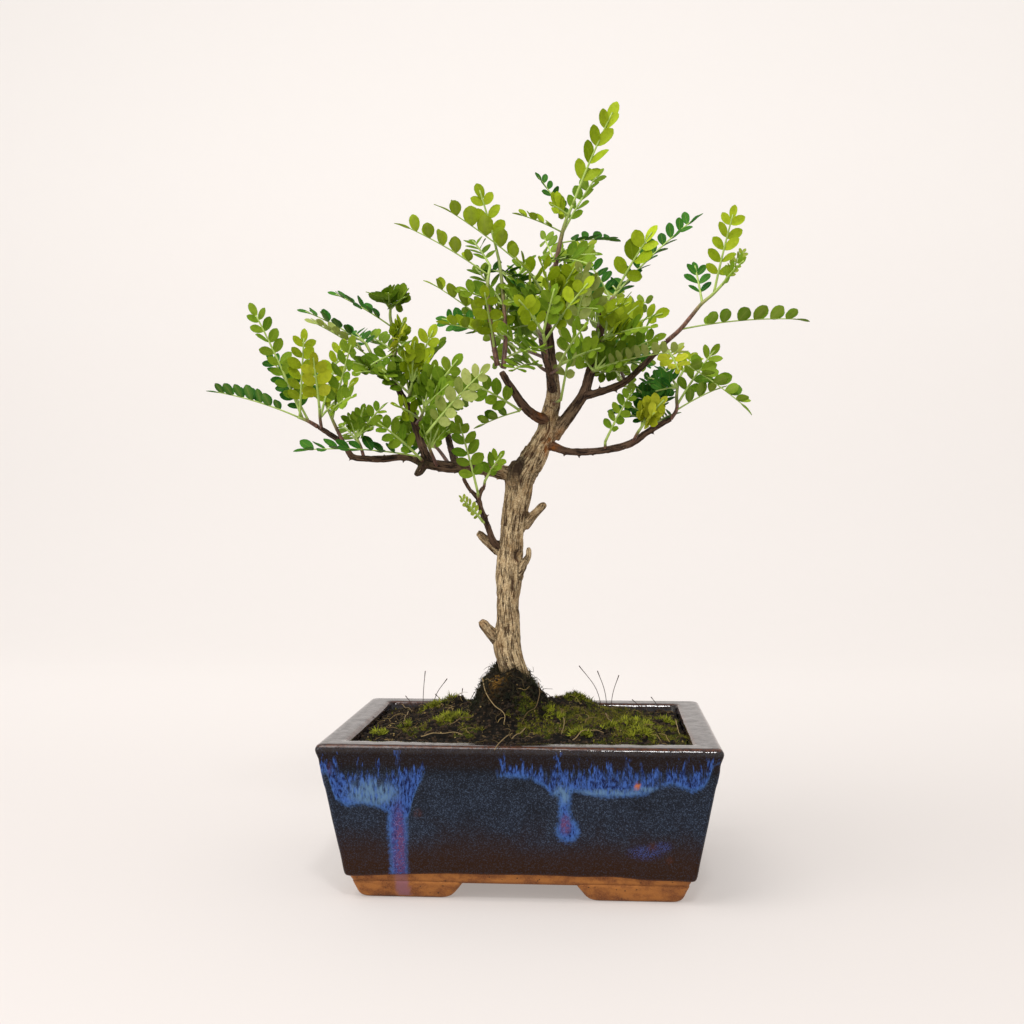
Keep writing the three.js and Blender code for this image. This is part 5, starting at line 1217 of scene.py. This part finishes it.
def foot_loft(side_x, side_y):
    """One corner foot: a slanted block with soft edges and a rough skin."""
    pattern = ring_pattern(FOOT_STEPS)
    centre_x = TRAY["half_length"] - FOOT["inset"] - FOOT["half_length"]
    centre_y = TRAY["half_width"] - FOOT["inset"] - FOOT["half_width"]
    rings = []
    for z, inset in FOOT_LEVELS:
        drop = (1 - z / FOOT["top"]) / 2
        half_x = FOOT["half_length"] - (FOOT["slant_end"] + FOOT["slant_inner"]) * drop - inset
        half_y = FOOT["half_width"] - (FOOT["slant_front"] + FOOT["slant_inner"]) * drop - inset
        middle = (side_x * (centre_x - (FOOT["slant_end"] - FOOT["slant_inner"]) * drop),
                  side_y * (centre_y - (FOOT["slant_front"] - FOOT["slant_inner"]) * drop))
        rings.append(ring(pattern, z, half_x, half_y, FOOT["radius"], middle))
    points = np.vstack(rings)
    columns = len(pattern[0])
    outward = np.tile(np.stack([*pattern[2:], np.zeros(columns)], axis=1), (len(rings), 1))
    rough = 0.22 * value_noise(points, 8) + 0.1 * value_noise(points, 1.8) - 0.15
    points = points + outward * (rough * (points[:, 2] > 0.1))[:, None]
    caps = [list(range(columns))[::-1], list(range(len(points) - columns, len(points)))]
    return points, wall_faces(len(rings), columns) + caps


def make_tray(glaze, clay):
    """The tray: bare clay underside and band, glazed body, bead, lip and cavity, with drain holes."""
    pattern = ring_pattern(TRAY_STEPS)
    columns = len(pattern[0])
    rise = np.linspace(0, 1, WALL_STEPS + 1)[1:, None]
    wall = np.array(GLAZE_PROFILE[-1]) + (np.array(BEAD_PROFILE[0]) - np.array(GLAZE_PROFILE[-1])) * rise
    outside = [*BAND_PROFILE, *GLAZE_PROFILE[1:], *wall, *BEAD_PROFILE[1:]]
    rings = [ring(pattern, z, TRAY["half_length"] - inset, TRAY["half_width"] - inset, TRAY[radius])
             for profile, radius in ((outside, "corner_radius"), (LIP_PROFILE, "inner_radius"))
             for z, inset in profile]
    points = np.vstack(rings)
    level = np.repeat(np.arange(len(rings)), columns)
    faces = wall_faces(len(rings), columns)
    face_level = np.repeat(np.arange(len(rings) - 1), columns)
    fields = glaze_fields(points)
    outward = np.tile(np.stack([*pattern[2:], np.zeros(columns)], axis=1), (len(rings), 1))
    is_wall = (level >= len(BAND_PROFILE)) & (level < len(outside) - 2)
    relief = 0.22 * value_noise(points, 21) + 0.06 * value_noise(points, 6)
    relief += 0.3 * smooth_step(np.minimum(fields["flow"], fields["crest"]), -1, 2)
    points = points + outward * (relief * is_wall)[:, None]
    end_share = np.abs(points[:, 0]) / TRAY["half_length"]
    sag = 0.35 * value_noise(points * (1, 1, 0), 16) + 1.3 - 1.8 * smooth_step(end_share, 0.35, 0.9)
    is_low_edge = (level > 2) & (level < len(outside))
    points[:, 2] += sag * smooth_step(points[:, 2], 24, 15) * is_low_edge
    on_lip = (level >= len(outside)) & (points[:, 2] > 78)
    points[:, 2] += (0.15 * value_noise(points * (1, 1, 0), 9) - 0.15) * on_lip
    holes = []
    drain_starts = {"low": [], "high": []}
    count = len(points)
    for side in (-1, 1):
        for end, height in (("low", TRAY["body_bottom"]), ("high", TRAY["floor_top"])):
            drain_starts[end].append(count)
            holes.append(drain_ring(side, height))
            count += DRAIN["sides"]
    under = holed_floor(rings[0], TRAY["body_bottom"], 0, drain_starts["low"], False)
    floor = holed_floor(rings[-1], TRAY["floor_top"], len(points) - columns, drain_starts["high"], True)
    for low, high in zip(drain_starts["low"], drain_starts["high"]):
        for k in range(DRAIN["sides"]):
            onward = (k + 1) % DRAIN["sides"]
            under.append([low + k, high + k, high + onward, low + onward])
    whole = np.vstack([points, *holes])
    is_clay = np.concatenate([face_level < len(BAND_PROFILE) - 1,
                              np.ones(len(under)), np.zeros(len(floor))])
    # Darker clay towards the lower edge of the band.
    fields["darker_clay"] = smooth_step(whole[:, 2], 10.6, 9) * 0.5
    smear = smooth_step(np.abs(points[:, 0] - DRIPS[0][0] - 0.6), 4.2, 2.4) * (points[:, 1] < 0)
    fields["violet"] = np.where(points[:, 2] < 13.4, 0.6 * smear, fields["violet"])
    tray = new_piece("pot_body", whole, faces + under + floor, (glaze, clay), fields,
                     is_clay.astype(int), math.radians(50), TRAY_PLACE)
    settle(tray, "glaze", "pot")
    feet_points, feet_faces = merged([foot_loft(x, y) for x in (-1, 1) for y in (-1, 1)])
    x, y, z = feet_points.T
    run = smooth_step(np.abs(x - DRIPS[0][0] - 1.8 + 0.12 * z), 4.0, 2.7) * (y < -50)
    feet_fields = {
        "violet": run * smooth_step(z, 0.8, 2.0),
        # Darker clay in patches and along each foot's bottom edge.
        "darker_clay": 0.6 * smooth_step(value_noise(feet_points, 11), 0.35, 0.9) + 0.6 * smooth_step(z, 1.2, 0.2),
    }
    feet = new_piece("pot_feet", feet_points, feet_faces, (clay,), feet_fields,
                     sharp=math.radians(60), place=TRAY_PLACE)
    settle(feet, "glaze", "pot")


# The compost's upper edge, its round corners and grid step, and the smaller outline of its underside
GROUND = dict(half_length=86.1, half_width=64.6, corner=4.0, step=1.1, low_length=77.7, low_width=56.2,
              low=17.6)
# Places of the golden-brown patch on the mound, of the leafy moss clumps and of mossy ground, as
# (x, y, reach)
BALD = (-16, -12, 5)
CLUMPS = ((-42, -13, 9), (-48, 56, 8), (-58, 40, 6), (28, 40, 8), (60, -13, 10), (47, -30, 6),
          (78, 12, 6), (-76, -36, 4), (16, -12, 6), (62, -38, 6), (31, -44, 5), (-64, -25, 4))
GREENS = ((-42, -13, 15), (4, -26, 14), (-24, -36, 10), (0, 10, 7), (-62, -30, 8), (-48, 50, 16),
          (-60, 38, 10), (45, -12, 34), (30, 40, 26), (68, -25, 26), (12, -34, 16))
DARK_CURLS = (27, 50, 10)
# Mossy heaps on and round the mound as (x, y, reach, height)
HEAPS = ((20, 32, 18, 6.5), (-42, 46, 15, 5.5), (-20, 0, 6, 4.0))
# Fallen leaf stalks as points (x, y, height over the ground)
STALKS = (
    ((-24, -5, 4), (-21, -18, 3), (-16, -25, 2), (-10, -30, 1.5), (-10, -34, 0.4)),
    ((7, -6, 5), (8, -11, 3), (6, -21, 2), (1, -27, 1), (-1, -33, 0.4)),
    ((2, -42, 0.4), (-4, -62, 3.5), (-9, -79, 1.6), (-11, -82.3, -1.2)),
    ((44, -6, 1.4), (46, -20, 2.2), (49, -35, 1)),
    ((21, -19, 1), (22, -34, 1.8), (21, -50, 0.8)),
    ((27, -55, 0.6), (32, -47, 2.6), (38, -43, 2.4), (43, -45, 0.6)),
    ((-39, -34, 1), (-33, -28, 2), (-27, -23, 1.6)),
    ((-79, 58, 2.5), (-74, 44, 2.2), (-68, 30, 0.8)),
    ((-70, 26, 0.8), (-67, -13, 0.9)),
    ((84, 23, 1), (83, 0, 2), (83, -27, 0.8)),
    ((-52, -50, 0.8), (-40, -47, 1.5), (-30, -52, 0.8)),
)
# Thin stalks that stand up from the moss as (x, y, lean in x, height)
HAIRS = ((-65, 50, 1.5, 24), (-59.5, 52, 9, 18), (-42, 50, 1, 12), (-37.6, 50, 4, 10), (42.6, 52, -14, 26),
         (45.5, 52, -6, 23), (47.2, 50, 5, 21), (76, 45, -5, 10), (-70, 47, -5, 9), (66, 50, -6, 8),
         (30, 52, 4, 7), (-20, 52, -4, 6), (-52, 54, -6, 9), (76, -8, -8, 6))
LIP_TOP = 81.5
# Stations and sides of a fallen stalk's tube, and of a standing one's
STALK_GRID, HAIR_GRID = (16, 6), (12, 5)


def ground_height(x, y):
    """The compost's height, by the solid's rule."""
    dome = SOIL["dome"] * (1 - (x / SOIL["reach_x"])**2) * (1 - (y / SOIL["reach_y"])**2)
    dx = x - SOIL["mound_x"]
    share = np.hypot(dx / np.where(dx < 0, SOIL["left"], SOIL["right"]),
                     y / np.where(y < 0, SOIL["front"], SOIL["back"]))
    mound = SOIL["mound"] * (1 - smooth_step(share, SOIL["plateau"], 1))
    wave = np.sin(x * 0.37 + 1) * np.cos(y * 0.31 + x * 0.11)
    return SOIL["edge"] + np.maximum(dome, 0) + mound + SOIL["bump"] * (wave - share / (share + 1))


def nearness(x, y, spot):
    return np.exp(-((x - spot[0])**2 + (y - spot[1])**2) / spot[2]**2)


def make_ground(finish):
    """The compost, lumpy and mossed, filling the tray to its floor."""
    counts = [int(2 * GROUND[side] / GROUND["step"]) + 1 for side in ("half_length", "half_width")]
    x, y = np.meshgrid(np.linspace(-1, 1, counts[0]) * GROUND["half_length"],
                       np.linspace(-1, 1, counts[1]) * GROUND["half_width"], indexing="ij")
    x, y = x.ravel(), y.ravel()
    inner_x, inner_y = (GROUND[side] - GROUND["corner"] for side in ("half_length", "half_width"))
    centre_x, centre_y = np.clip(x, -inner_x, inner_x), np.clip(y, -inner_y, inner_y)
    away = np.maximum(np.hypot(x - centre_x, y - centre_y), 1e-9)
    pull = np.minimum(1, GROUND["corner"] / away)
    x, y = centre_x + (x - centre_x) * pull, centre_y + (y - centre_y) * pull
    flat = np.stack([x, y, np.zeros_like(x)], axis=1)
    edge = np.minimum(GROUND["half_length"] - abs(x), GROUND["half_width"] - abs(y))
    mound = smooth_step(np.hypot((x + 10) / 24, y / 28), 1.1, 0.6)
    lumps = 1.1 * value_noise(flat, 7) + 0.8 * value_noise(flat, 3.1)
    lumps += (0.45 + 0.6 * mound) * value_noise(flat, 1.6) + 2.1 * mound * value_noise(flat, 5)
    z = ground_height(x, y) + lumps * (0.35 + 0.65 * smooth_step(edge, 0, 6))
    clumps = np.max([nearness(x, y, spot) for spot in CLUMPS], axis=0)
    heaps = sum(spot[3] * nearness(x, y, spot) for spot in HEAPS) * (1 + 0.4 * value_noise(flat, 6))
    z += (2.2 * clumps + heaps) * smooth_step(edge, 0, 8)
    greens = np.max([nearness(x, y, spot) for spot in GREENS], axis=0)
    patchy = value_noise(flat + 31, 12) + 0.8 * value_noise(flat, 4.5) + 1.9 * greens - 0.95
    moss = smooth_step(patchy - 0.8 * mound, -0.3, 0.5)
    points = np.stack([x, y, z], axis=1)
    grid = np.arange(len(x)).reshape(counts)
    faces = np.stack([grid[:-1, :-1], grid[1:, :-1], grid[1:, 1:], grid[:-1, 1:]], axis=-1).reshape(-1, 4)
    rim = np.concatenate([grid[:-1, 0], grid[-1, :-1], grid[:0:-1, -1], grid[0, :0:-1]])
    low = points[rim] * (GROUND["low_length"] / GROUND["half_length"],
                         GROUND["low_width"] / GROUND["half_width"], 0) + (0, 0, GROUND["low"])
    start, count = len(points), len(rim)
    onward = np.roll(np.arange(count), -1)
    skirt = np.stack([rim, start + np.arange(count), start + onward, rim[onward]], axis=1)
    bottom = [list(range(start, start + count))[::-1]]
    whole = np.vstack([points, low])
    bald = nearness(x, y, BALD)
    fields = {"moss": moss, "bald": bald, "clump": np.clip(clumps * 1.6 - 0.3, 0, 1),
              "root": np.clip(mound * 1.2 - 0.4 * moss - bald, 0, 1), "level": smooth_step(edge, 0, 1.5),
              "curl": np.clip(nearness(x, y, DARK_CURLS) + 0.22 * mound - bald, 0, 1)}
    ground = new_piece("compost_ground", whole, faces.tolist() + skirt.tolist() + bottom, (finish,),
                       fields, sharp=math.radians(60), place=TRAY_PLACE)
    settle(ground, "compost", "soil")
    return ground


def blades_shape(name, count, spread, width, seed):
    """A tuft of thin three-sided blades, one tall."""
    draw = np.random.default_rng(seed)
    parts = []
    for k in range(count):
        turn = (k + draw.random() * 0.7) / count * 2 * math.pi
        lean = spread * (0.35 + draw.random())
        foot = np.array((math.cos(turn), math.sin(turn), 0)) * width
        tip = np.array((math.cos(turn) * lean, math.sin(turn) * lean, 0.55 + 0.45 * draw.random()))
        side = np.array((-math.sin(turn), math.cos(turn), 0)) * width
        points = np.array([foot - side, foot + side, foot * 2.2 + (0, 0, 0.12), tip])
        parts.append((points, [[0, 1, 2], [1, 0, 3], [2, 1, 3], [0, 2, 3]]))
    return small_shape(name, *merged(parts))


def crumb_shape(name, seed):
    """A rough grain about one across."""
    draw = np.random.default_rng(seed)
    turn = np.arange(5) / 5 * 2 * math.pi
    upper = np.stack([np.cos(turn), np.sin(turn), np.full(5, 0.5)], axis=1)
    lower = upper @ np.diag((-1, -1, -1))
    points = np.vstack([upper, lower, (0, 0, 1.15), (0, 0, -1.15)]) * 0.45
    faces = []
    for k in range(5):
        onward = (k + 1) % 5
        across = 5 + (k + 3) % 5
        faces += [(10, k, onward), (11, 5 + onward, 5 + k), (k, across, onward),
                  (across, 5 + (k + 4) % 5, onward)]
    return small_shape(name, points * draw.uniform(0.75, 1.2, (12, 1)), faces)


def fibre_shape(name, seed):
    """A thin bent strand along +X, one long."""
    draw = np.random.default_rng(seed)
    points = smooth_path([(0, 0, 0), (0.3, draw.uniform(-0.12, 0.12), 0.14),
                          (0.7, draw.uniform(-0.25, 0.25), 0.1), (1, draw.uniform(-0.4, 0.4), 0.02)],
                         np.linspace(0, 1, 6))
    return small_shape(name, *tube(points, np.linspace(0.03, 0.015, 6), 3))


def small_shape(name, points, faces):
    mesh = bpy.data.meshes.new(name)
    mesh.from_pydata(np.asarray(points).tolist(), [], faces)
    return bpy.data.objects.new(name, mesh)


def scatter_group():
    """Geometry nodes that scatter turned copies of a shape over a ground, thick where a field is."""
    group = Group("Scatter over ground", (
        ("Ground", "Geometry"), ("Shape", "Object"), ("Field", "String"), ("Density", "Float"),
        ("Smallest", "Float"), ("Largest", "Float"), ("Tilt", "Float"), ("Lift", "Float"),
        ("Seed", "Int"), ("Finish", "Material")))
    add, given = group.add, group.given
    seed, tilt = given["Seed"], given["Tilt"]
    density = group.times(given["Density"], group.field(given["Field"], "FLOAT"))
    spots = add("GeometryNodeDistributePointsOnFaces",
                {"Mesh": given["Ground"], "Density": density, "Seed": seed}, "Points")
    back = group.times(tilt, -1)
    least = add("ShaderNodeCombineXYZ", {0: back, 1: back})
    most = add("ShaderNodeCombineXYZ", {0: tilt, 1: tilt, 2: 2 * math.pi})
    turn = add("FunctionNodeRandomValue", {"Min": least, "Max": most, "Seed": seed},
               data_type="FLOAT_VECTOR")
    turned = add("FunctionNodeRotateRotation", {
        0: spots.node.outputs["Rotation"], 1: add("FunctionNodeEulerToRotation", {0: turn})},
        rotation_space="LOCAL")
    # A random number node has its plain numbers at inputs 2 and 3 and output 1
    size = add("FunctionNodeRandomValue", {2: given["Smallest"], 3: given["Largest"], "Seed": seed}, 1,
               data_type="FLOAT")
    shape = add("GeometryNodeObjectInfo", {"Object": given["Shape"]}, "Geometry")
    copies = add("GeometryNodeInstanceOnPoints", {"Points": spots, "Instance": shape,
                                                  "Rotation": turned, "Scale": size})
    up = add("ShaderNodeCombineXYZ", {2: given["Lift"]})
    lifted = add("GeometryNodeTranslateInstances", {"Instances": copies, "Translation": up})
    shade = add("FunctionNodeRandomValue", output=1, data_type="FLOAT")
    return group.done(add("GeometryNodeStoreNamedAttribute", {
        "Geometry": lifted, "Name": "grain", "Value": shade}, data_type="FLOAT", domain="INSTANCE"))


# What is scattered: its shape, the field that says where, copies per square metre, sizes in
# millimetres, tilt, how far it is lifted, and its finish
SCATTERED = (
    ("moss_fuzz", "tuft", "moss", 300000, 1.2, 3.0, 0.7, -0.2, ("moss", "0b0f04", "78741a")),
    ("moss_clumps", "rosette", "clump", 330000, 1.3, 3.9, 0.8, -0.3, ("bright_moss", "2b350a", "9a9e26")),
    ("moss_dark", "rosette", "curl", 300000, 1.8, 3.4, 0.8, -0.2, ("dark_moss", "0b0f06", "2b3016")),
    ("earth_crumbs", "crumb", "level", 170000, 0.7, 2.4, 3.0, -0.2, ("crumbs", "060403", "3a2b1b", 0.9)),
    ("pale_grit", "crumb", "level", 9000, 0.5, 1.3, 3.0, 0.3, ("grit", "5a4628", "a8905c", 0.9)),
    ("root_fibres", "fibre", "root", 380000, 3.0, 8.0, 0.5, 0.0, ("fibres", "080705", "2e2916", 0.9)),
    ("dry_fibres", "fibre", "level", 19000, 2.5, 8.0, 0.4, 0.7, ("dry", "241a0e", "90794a")),
)


def make_scatter(ground):
    """Moss, crumbs and root fibres over the compost."""
    group = scatter_group()
    shapes = dict(tuft=blades_shape("tuft_shape", 6, 0.55, 0.06, 1),
                  rosette=blades_shape("rosette_shape", 8, 0.8, 0.13, 2),
                  crumb=crumb_shape("crumb_shape", 3), fibre=fibre_shape("fibre_shape", 4))
    for number, (name, shape, field, density, small, large, tilt, lift, finish) in enumerate(SCATTERED):
        piece = bpy.data.objects.new(name, ground.data.copy())
        bpy.context.scene.collection.objects.link(piece)
        group.work_in(piece, {"Shape": shapes[shape], "Field": field, "Density": float(density),
                              "Smallest": small * MM, "Largest": large * MM, "Tilt": tilt,
                              "Lift": lift * MM, "Seed": number, "Finish": make_bits_finish(*finish)})
        settle(piece, "compost")
    for shape in shapes.values():
        bpy.data.objects.remove(shape)


def make_litter(stalk, hair):
    """Fallen leaf stalks on the moss, and thin stalks that stand up from it."""
    parts, shades = [], []
    stations, sides = STALK_GRID
    for number, line in enumerate(STALKS):
        points = smooth_path(line, np.linspace(0, 1, stations))
        ground_here = ground_height(points[:, 0], points[:, 1]) + 1.0
        points[:, 2] += np.where(np.abs(points[:, 1]) < GROUND["half_width"], ground_here, LIP_TOP)
        parts.append(tube(points, np.linspace(0.3, 0.16, stations), sides))
        shades.append(np.full(stations * sides, fixed_draw(number + 1)))
    litter = new_piece("fallen_stalks", *merged(parts), (stalk,), {"grain": np.concatenate(shades)},
                       place=TRAY_PLACE)
    parts = []
    stations, sides = HAIR_GRID
    for x, y, lean, height in HAIRS:
        foot = float(ground_height(np.array(x), np.array(y)))
        points = smooth_path([(x, y, foot - 1), (x + lean * 0.3, y, foot + height * 0.5),
                              (x + lean, y, foot + height)], np.linspace(0, 1, stations))
        radii = 0.2 + 0.12 * smooth_step(np.arange(stations), 9.5, 10.5)
        parts.append(tube(points, radii, sides))
    shades = np.full(len(HAIRS) * stations * sides, 0.4)
    hairs = new_piece("moss_hairs", *merged(parts), (hair,), {"grain": shades}, place=TRAY_PLACE)
    settle(litter, "compost")
    settle(hairs, "compost")


CAMERA = dict(x=39.0, y=-699.0, z=195.2, turn=3.9, lens=44.23)
# The backdrop's profile as (y, z) in millimetres: a floor that curves up into a wall
BACKDROP = ((-1500, 0), (-400, 0), (500, 0), (900, 0), (1150, 30), (1350, 120), (1500, 290), (1570, 500),
            (1600, 900), (1600, 3000))
SWEEP = dict(half_width=2500, stations=91)
DAYLIGHT = dict(colour=(1.0, 0.988, 0.972, 1), strength=0.82)
# Soft boxes as (name, place, aim, size, power, colour)
LIGHTS = (
    ("top_light", (-420, -420, 1450), (0, 0, 150), (900, 900), 13.0, (1.0, 0.985, 0.965)),
    ("side_light", (-1000, -750, 600), (0, 0, 200), (900, 900), 5.0, (1.0, 0.99, 0.975)),
    ("strip_light", (132, -900, 1100), (10, 0, 78), (125, 240), 6.0, (1.0, 1.0, 1.0)),
)


def make_stage():
    """A pale sweep, soft lights and the camera where the photograph was taken from."""
    profile = smooth_path([(y, z, 0) for y, z in BACKDROP], np.linspace(0, 1, SWEEP["stations"]))
    points = np.array([(side * SWEEP["half_width"], y, max(z, 0.0))
                       for side in (-1, 1) for y, z, _ in profile])
    count = len(profile)
    faces = [(k, count + k, count + k + 1, k + 1) for k in range(count - 1)]
    finish = Finish("paper_sweep")
    grain = finish.noise(finish.place(), 40, 3)
    # Painted shade and light: the sweep is darker near the lamps and lighter far back and up the wall,
    # which evens out how the lamps light it.
    depth, height = (finish.add("ShaderNodeSeparateXYZ", {"Vector": finish.place()}, output=k)
                     for k in (1, 2))
    colour = finish.mix(finish.step(depth, -100, 900), "a19c9a", "c0bcba")
    colour = finish.mix(finish.step(height, 150, 900), colour, "cbc8c6")
    colour = finish.mix(finish.times(grain, 0.04), colour, "a8a098")
    # Painted light: the sweep glows by itself, which lifts the shadows cast on it.
    material = finish.done(finish.surface(colour, 0.9, finish.bump(grain, 0.01, 0.2),
                                          Emission_Color=(*srgb("9a9591"), 1), Emission_Strength=1.0))
    sweep = new_piece("paper_sweep", points, faces, (material,), place=TRAY_PLACE)
    sweep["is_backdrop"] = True
    for name, place, aim, size, power, colour in LIGHTS:
        light = bpy.data.lights.new(name, "AREA")
        light.shape = "RECTANGLE"
        light.size, light.size_y = size[0] * MM, size[1] * MM
        light.energy = power
        light.color = colour
        lamp = bpy.data.objects.new(name, light)
        lamp.location = (ORIGIN + place) * MM
        lamp.rotation_euler = Vector(np.subtract(aim, place)).to_track_quat("-Z", "Y").to_euler()
        bpy.context.scene.collection.objects.link(lamp)
    world = bpy.data.worlds.new("studio")
    world.use_nodes = True
    background = world.node_tree.nodes["Background"]
    background.inputs["Color"].default_value = DAYLIGHT["colour"]
    background.inputs["Strength"].default_value = DAYLIGHT["strength"]
    scene = bpy.context.scene
    scene.world = world
    scene.view_settings.view_transform = "Standard"
    lens = bpy.data.cameras.new("camera")
    lens.lens = CAMERA["lens"]
    camera = bpy.data.objects.new("camera", lens)
    camera.location = (ORIGIN + (CAMERA["x"], CAMERA["y"], CAMERA["z"])) * MM
    camera.rotation_euler = (math.pi / 2, 0, math.radians(CAMERA["turn"]))
    scene.collection.objects.link(camera)
    scene.camera = camera


make_stage()
make_tree(make_bark_finish())
make_sprays(make_leaf_finish(), make_stalk_finish())
make_tray(make_glaze_finish(), make_clay_finish())
make_scatter(make_ground(make_soil_finish()))
make_litter(make_bits_finish("fallen_stalk", "4c3a22", "98825a"),
            make_bits_finish("moss_hair", "241510", "4c3022"))
netting = make_screen_finish()
for node in ("drain_screen_left", "drain_screen_right"):
    frame["nodes"][node].data.materials.clear()
    frame["nodes"][node].data.materials.append(netting)

sides = [[list(corner) for corner in bounds] for bounds in (cad_bounds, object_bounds())]
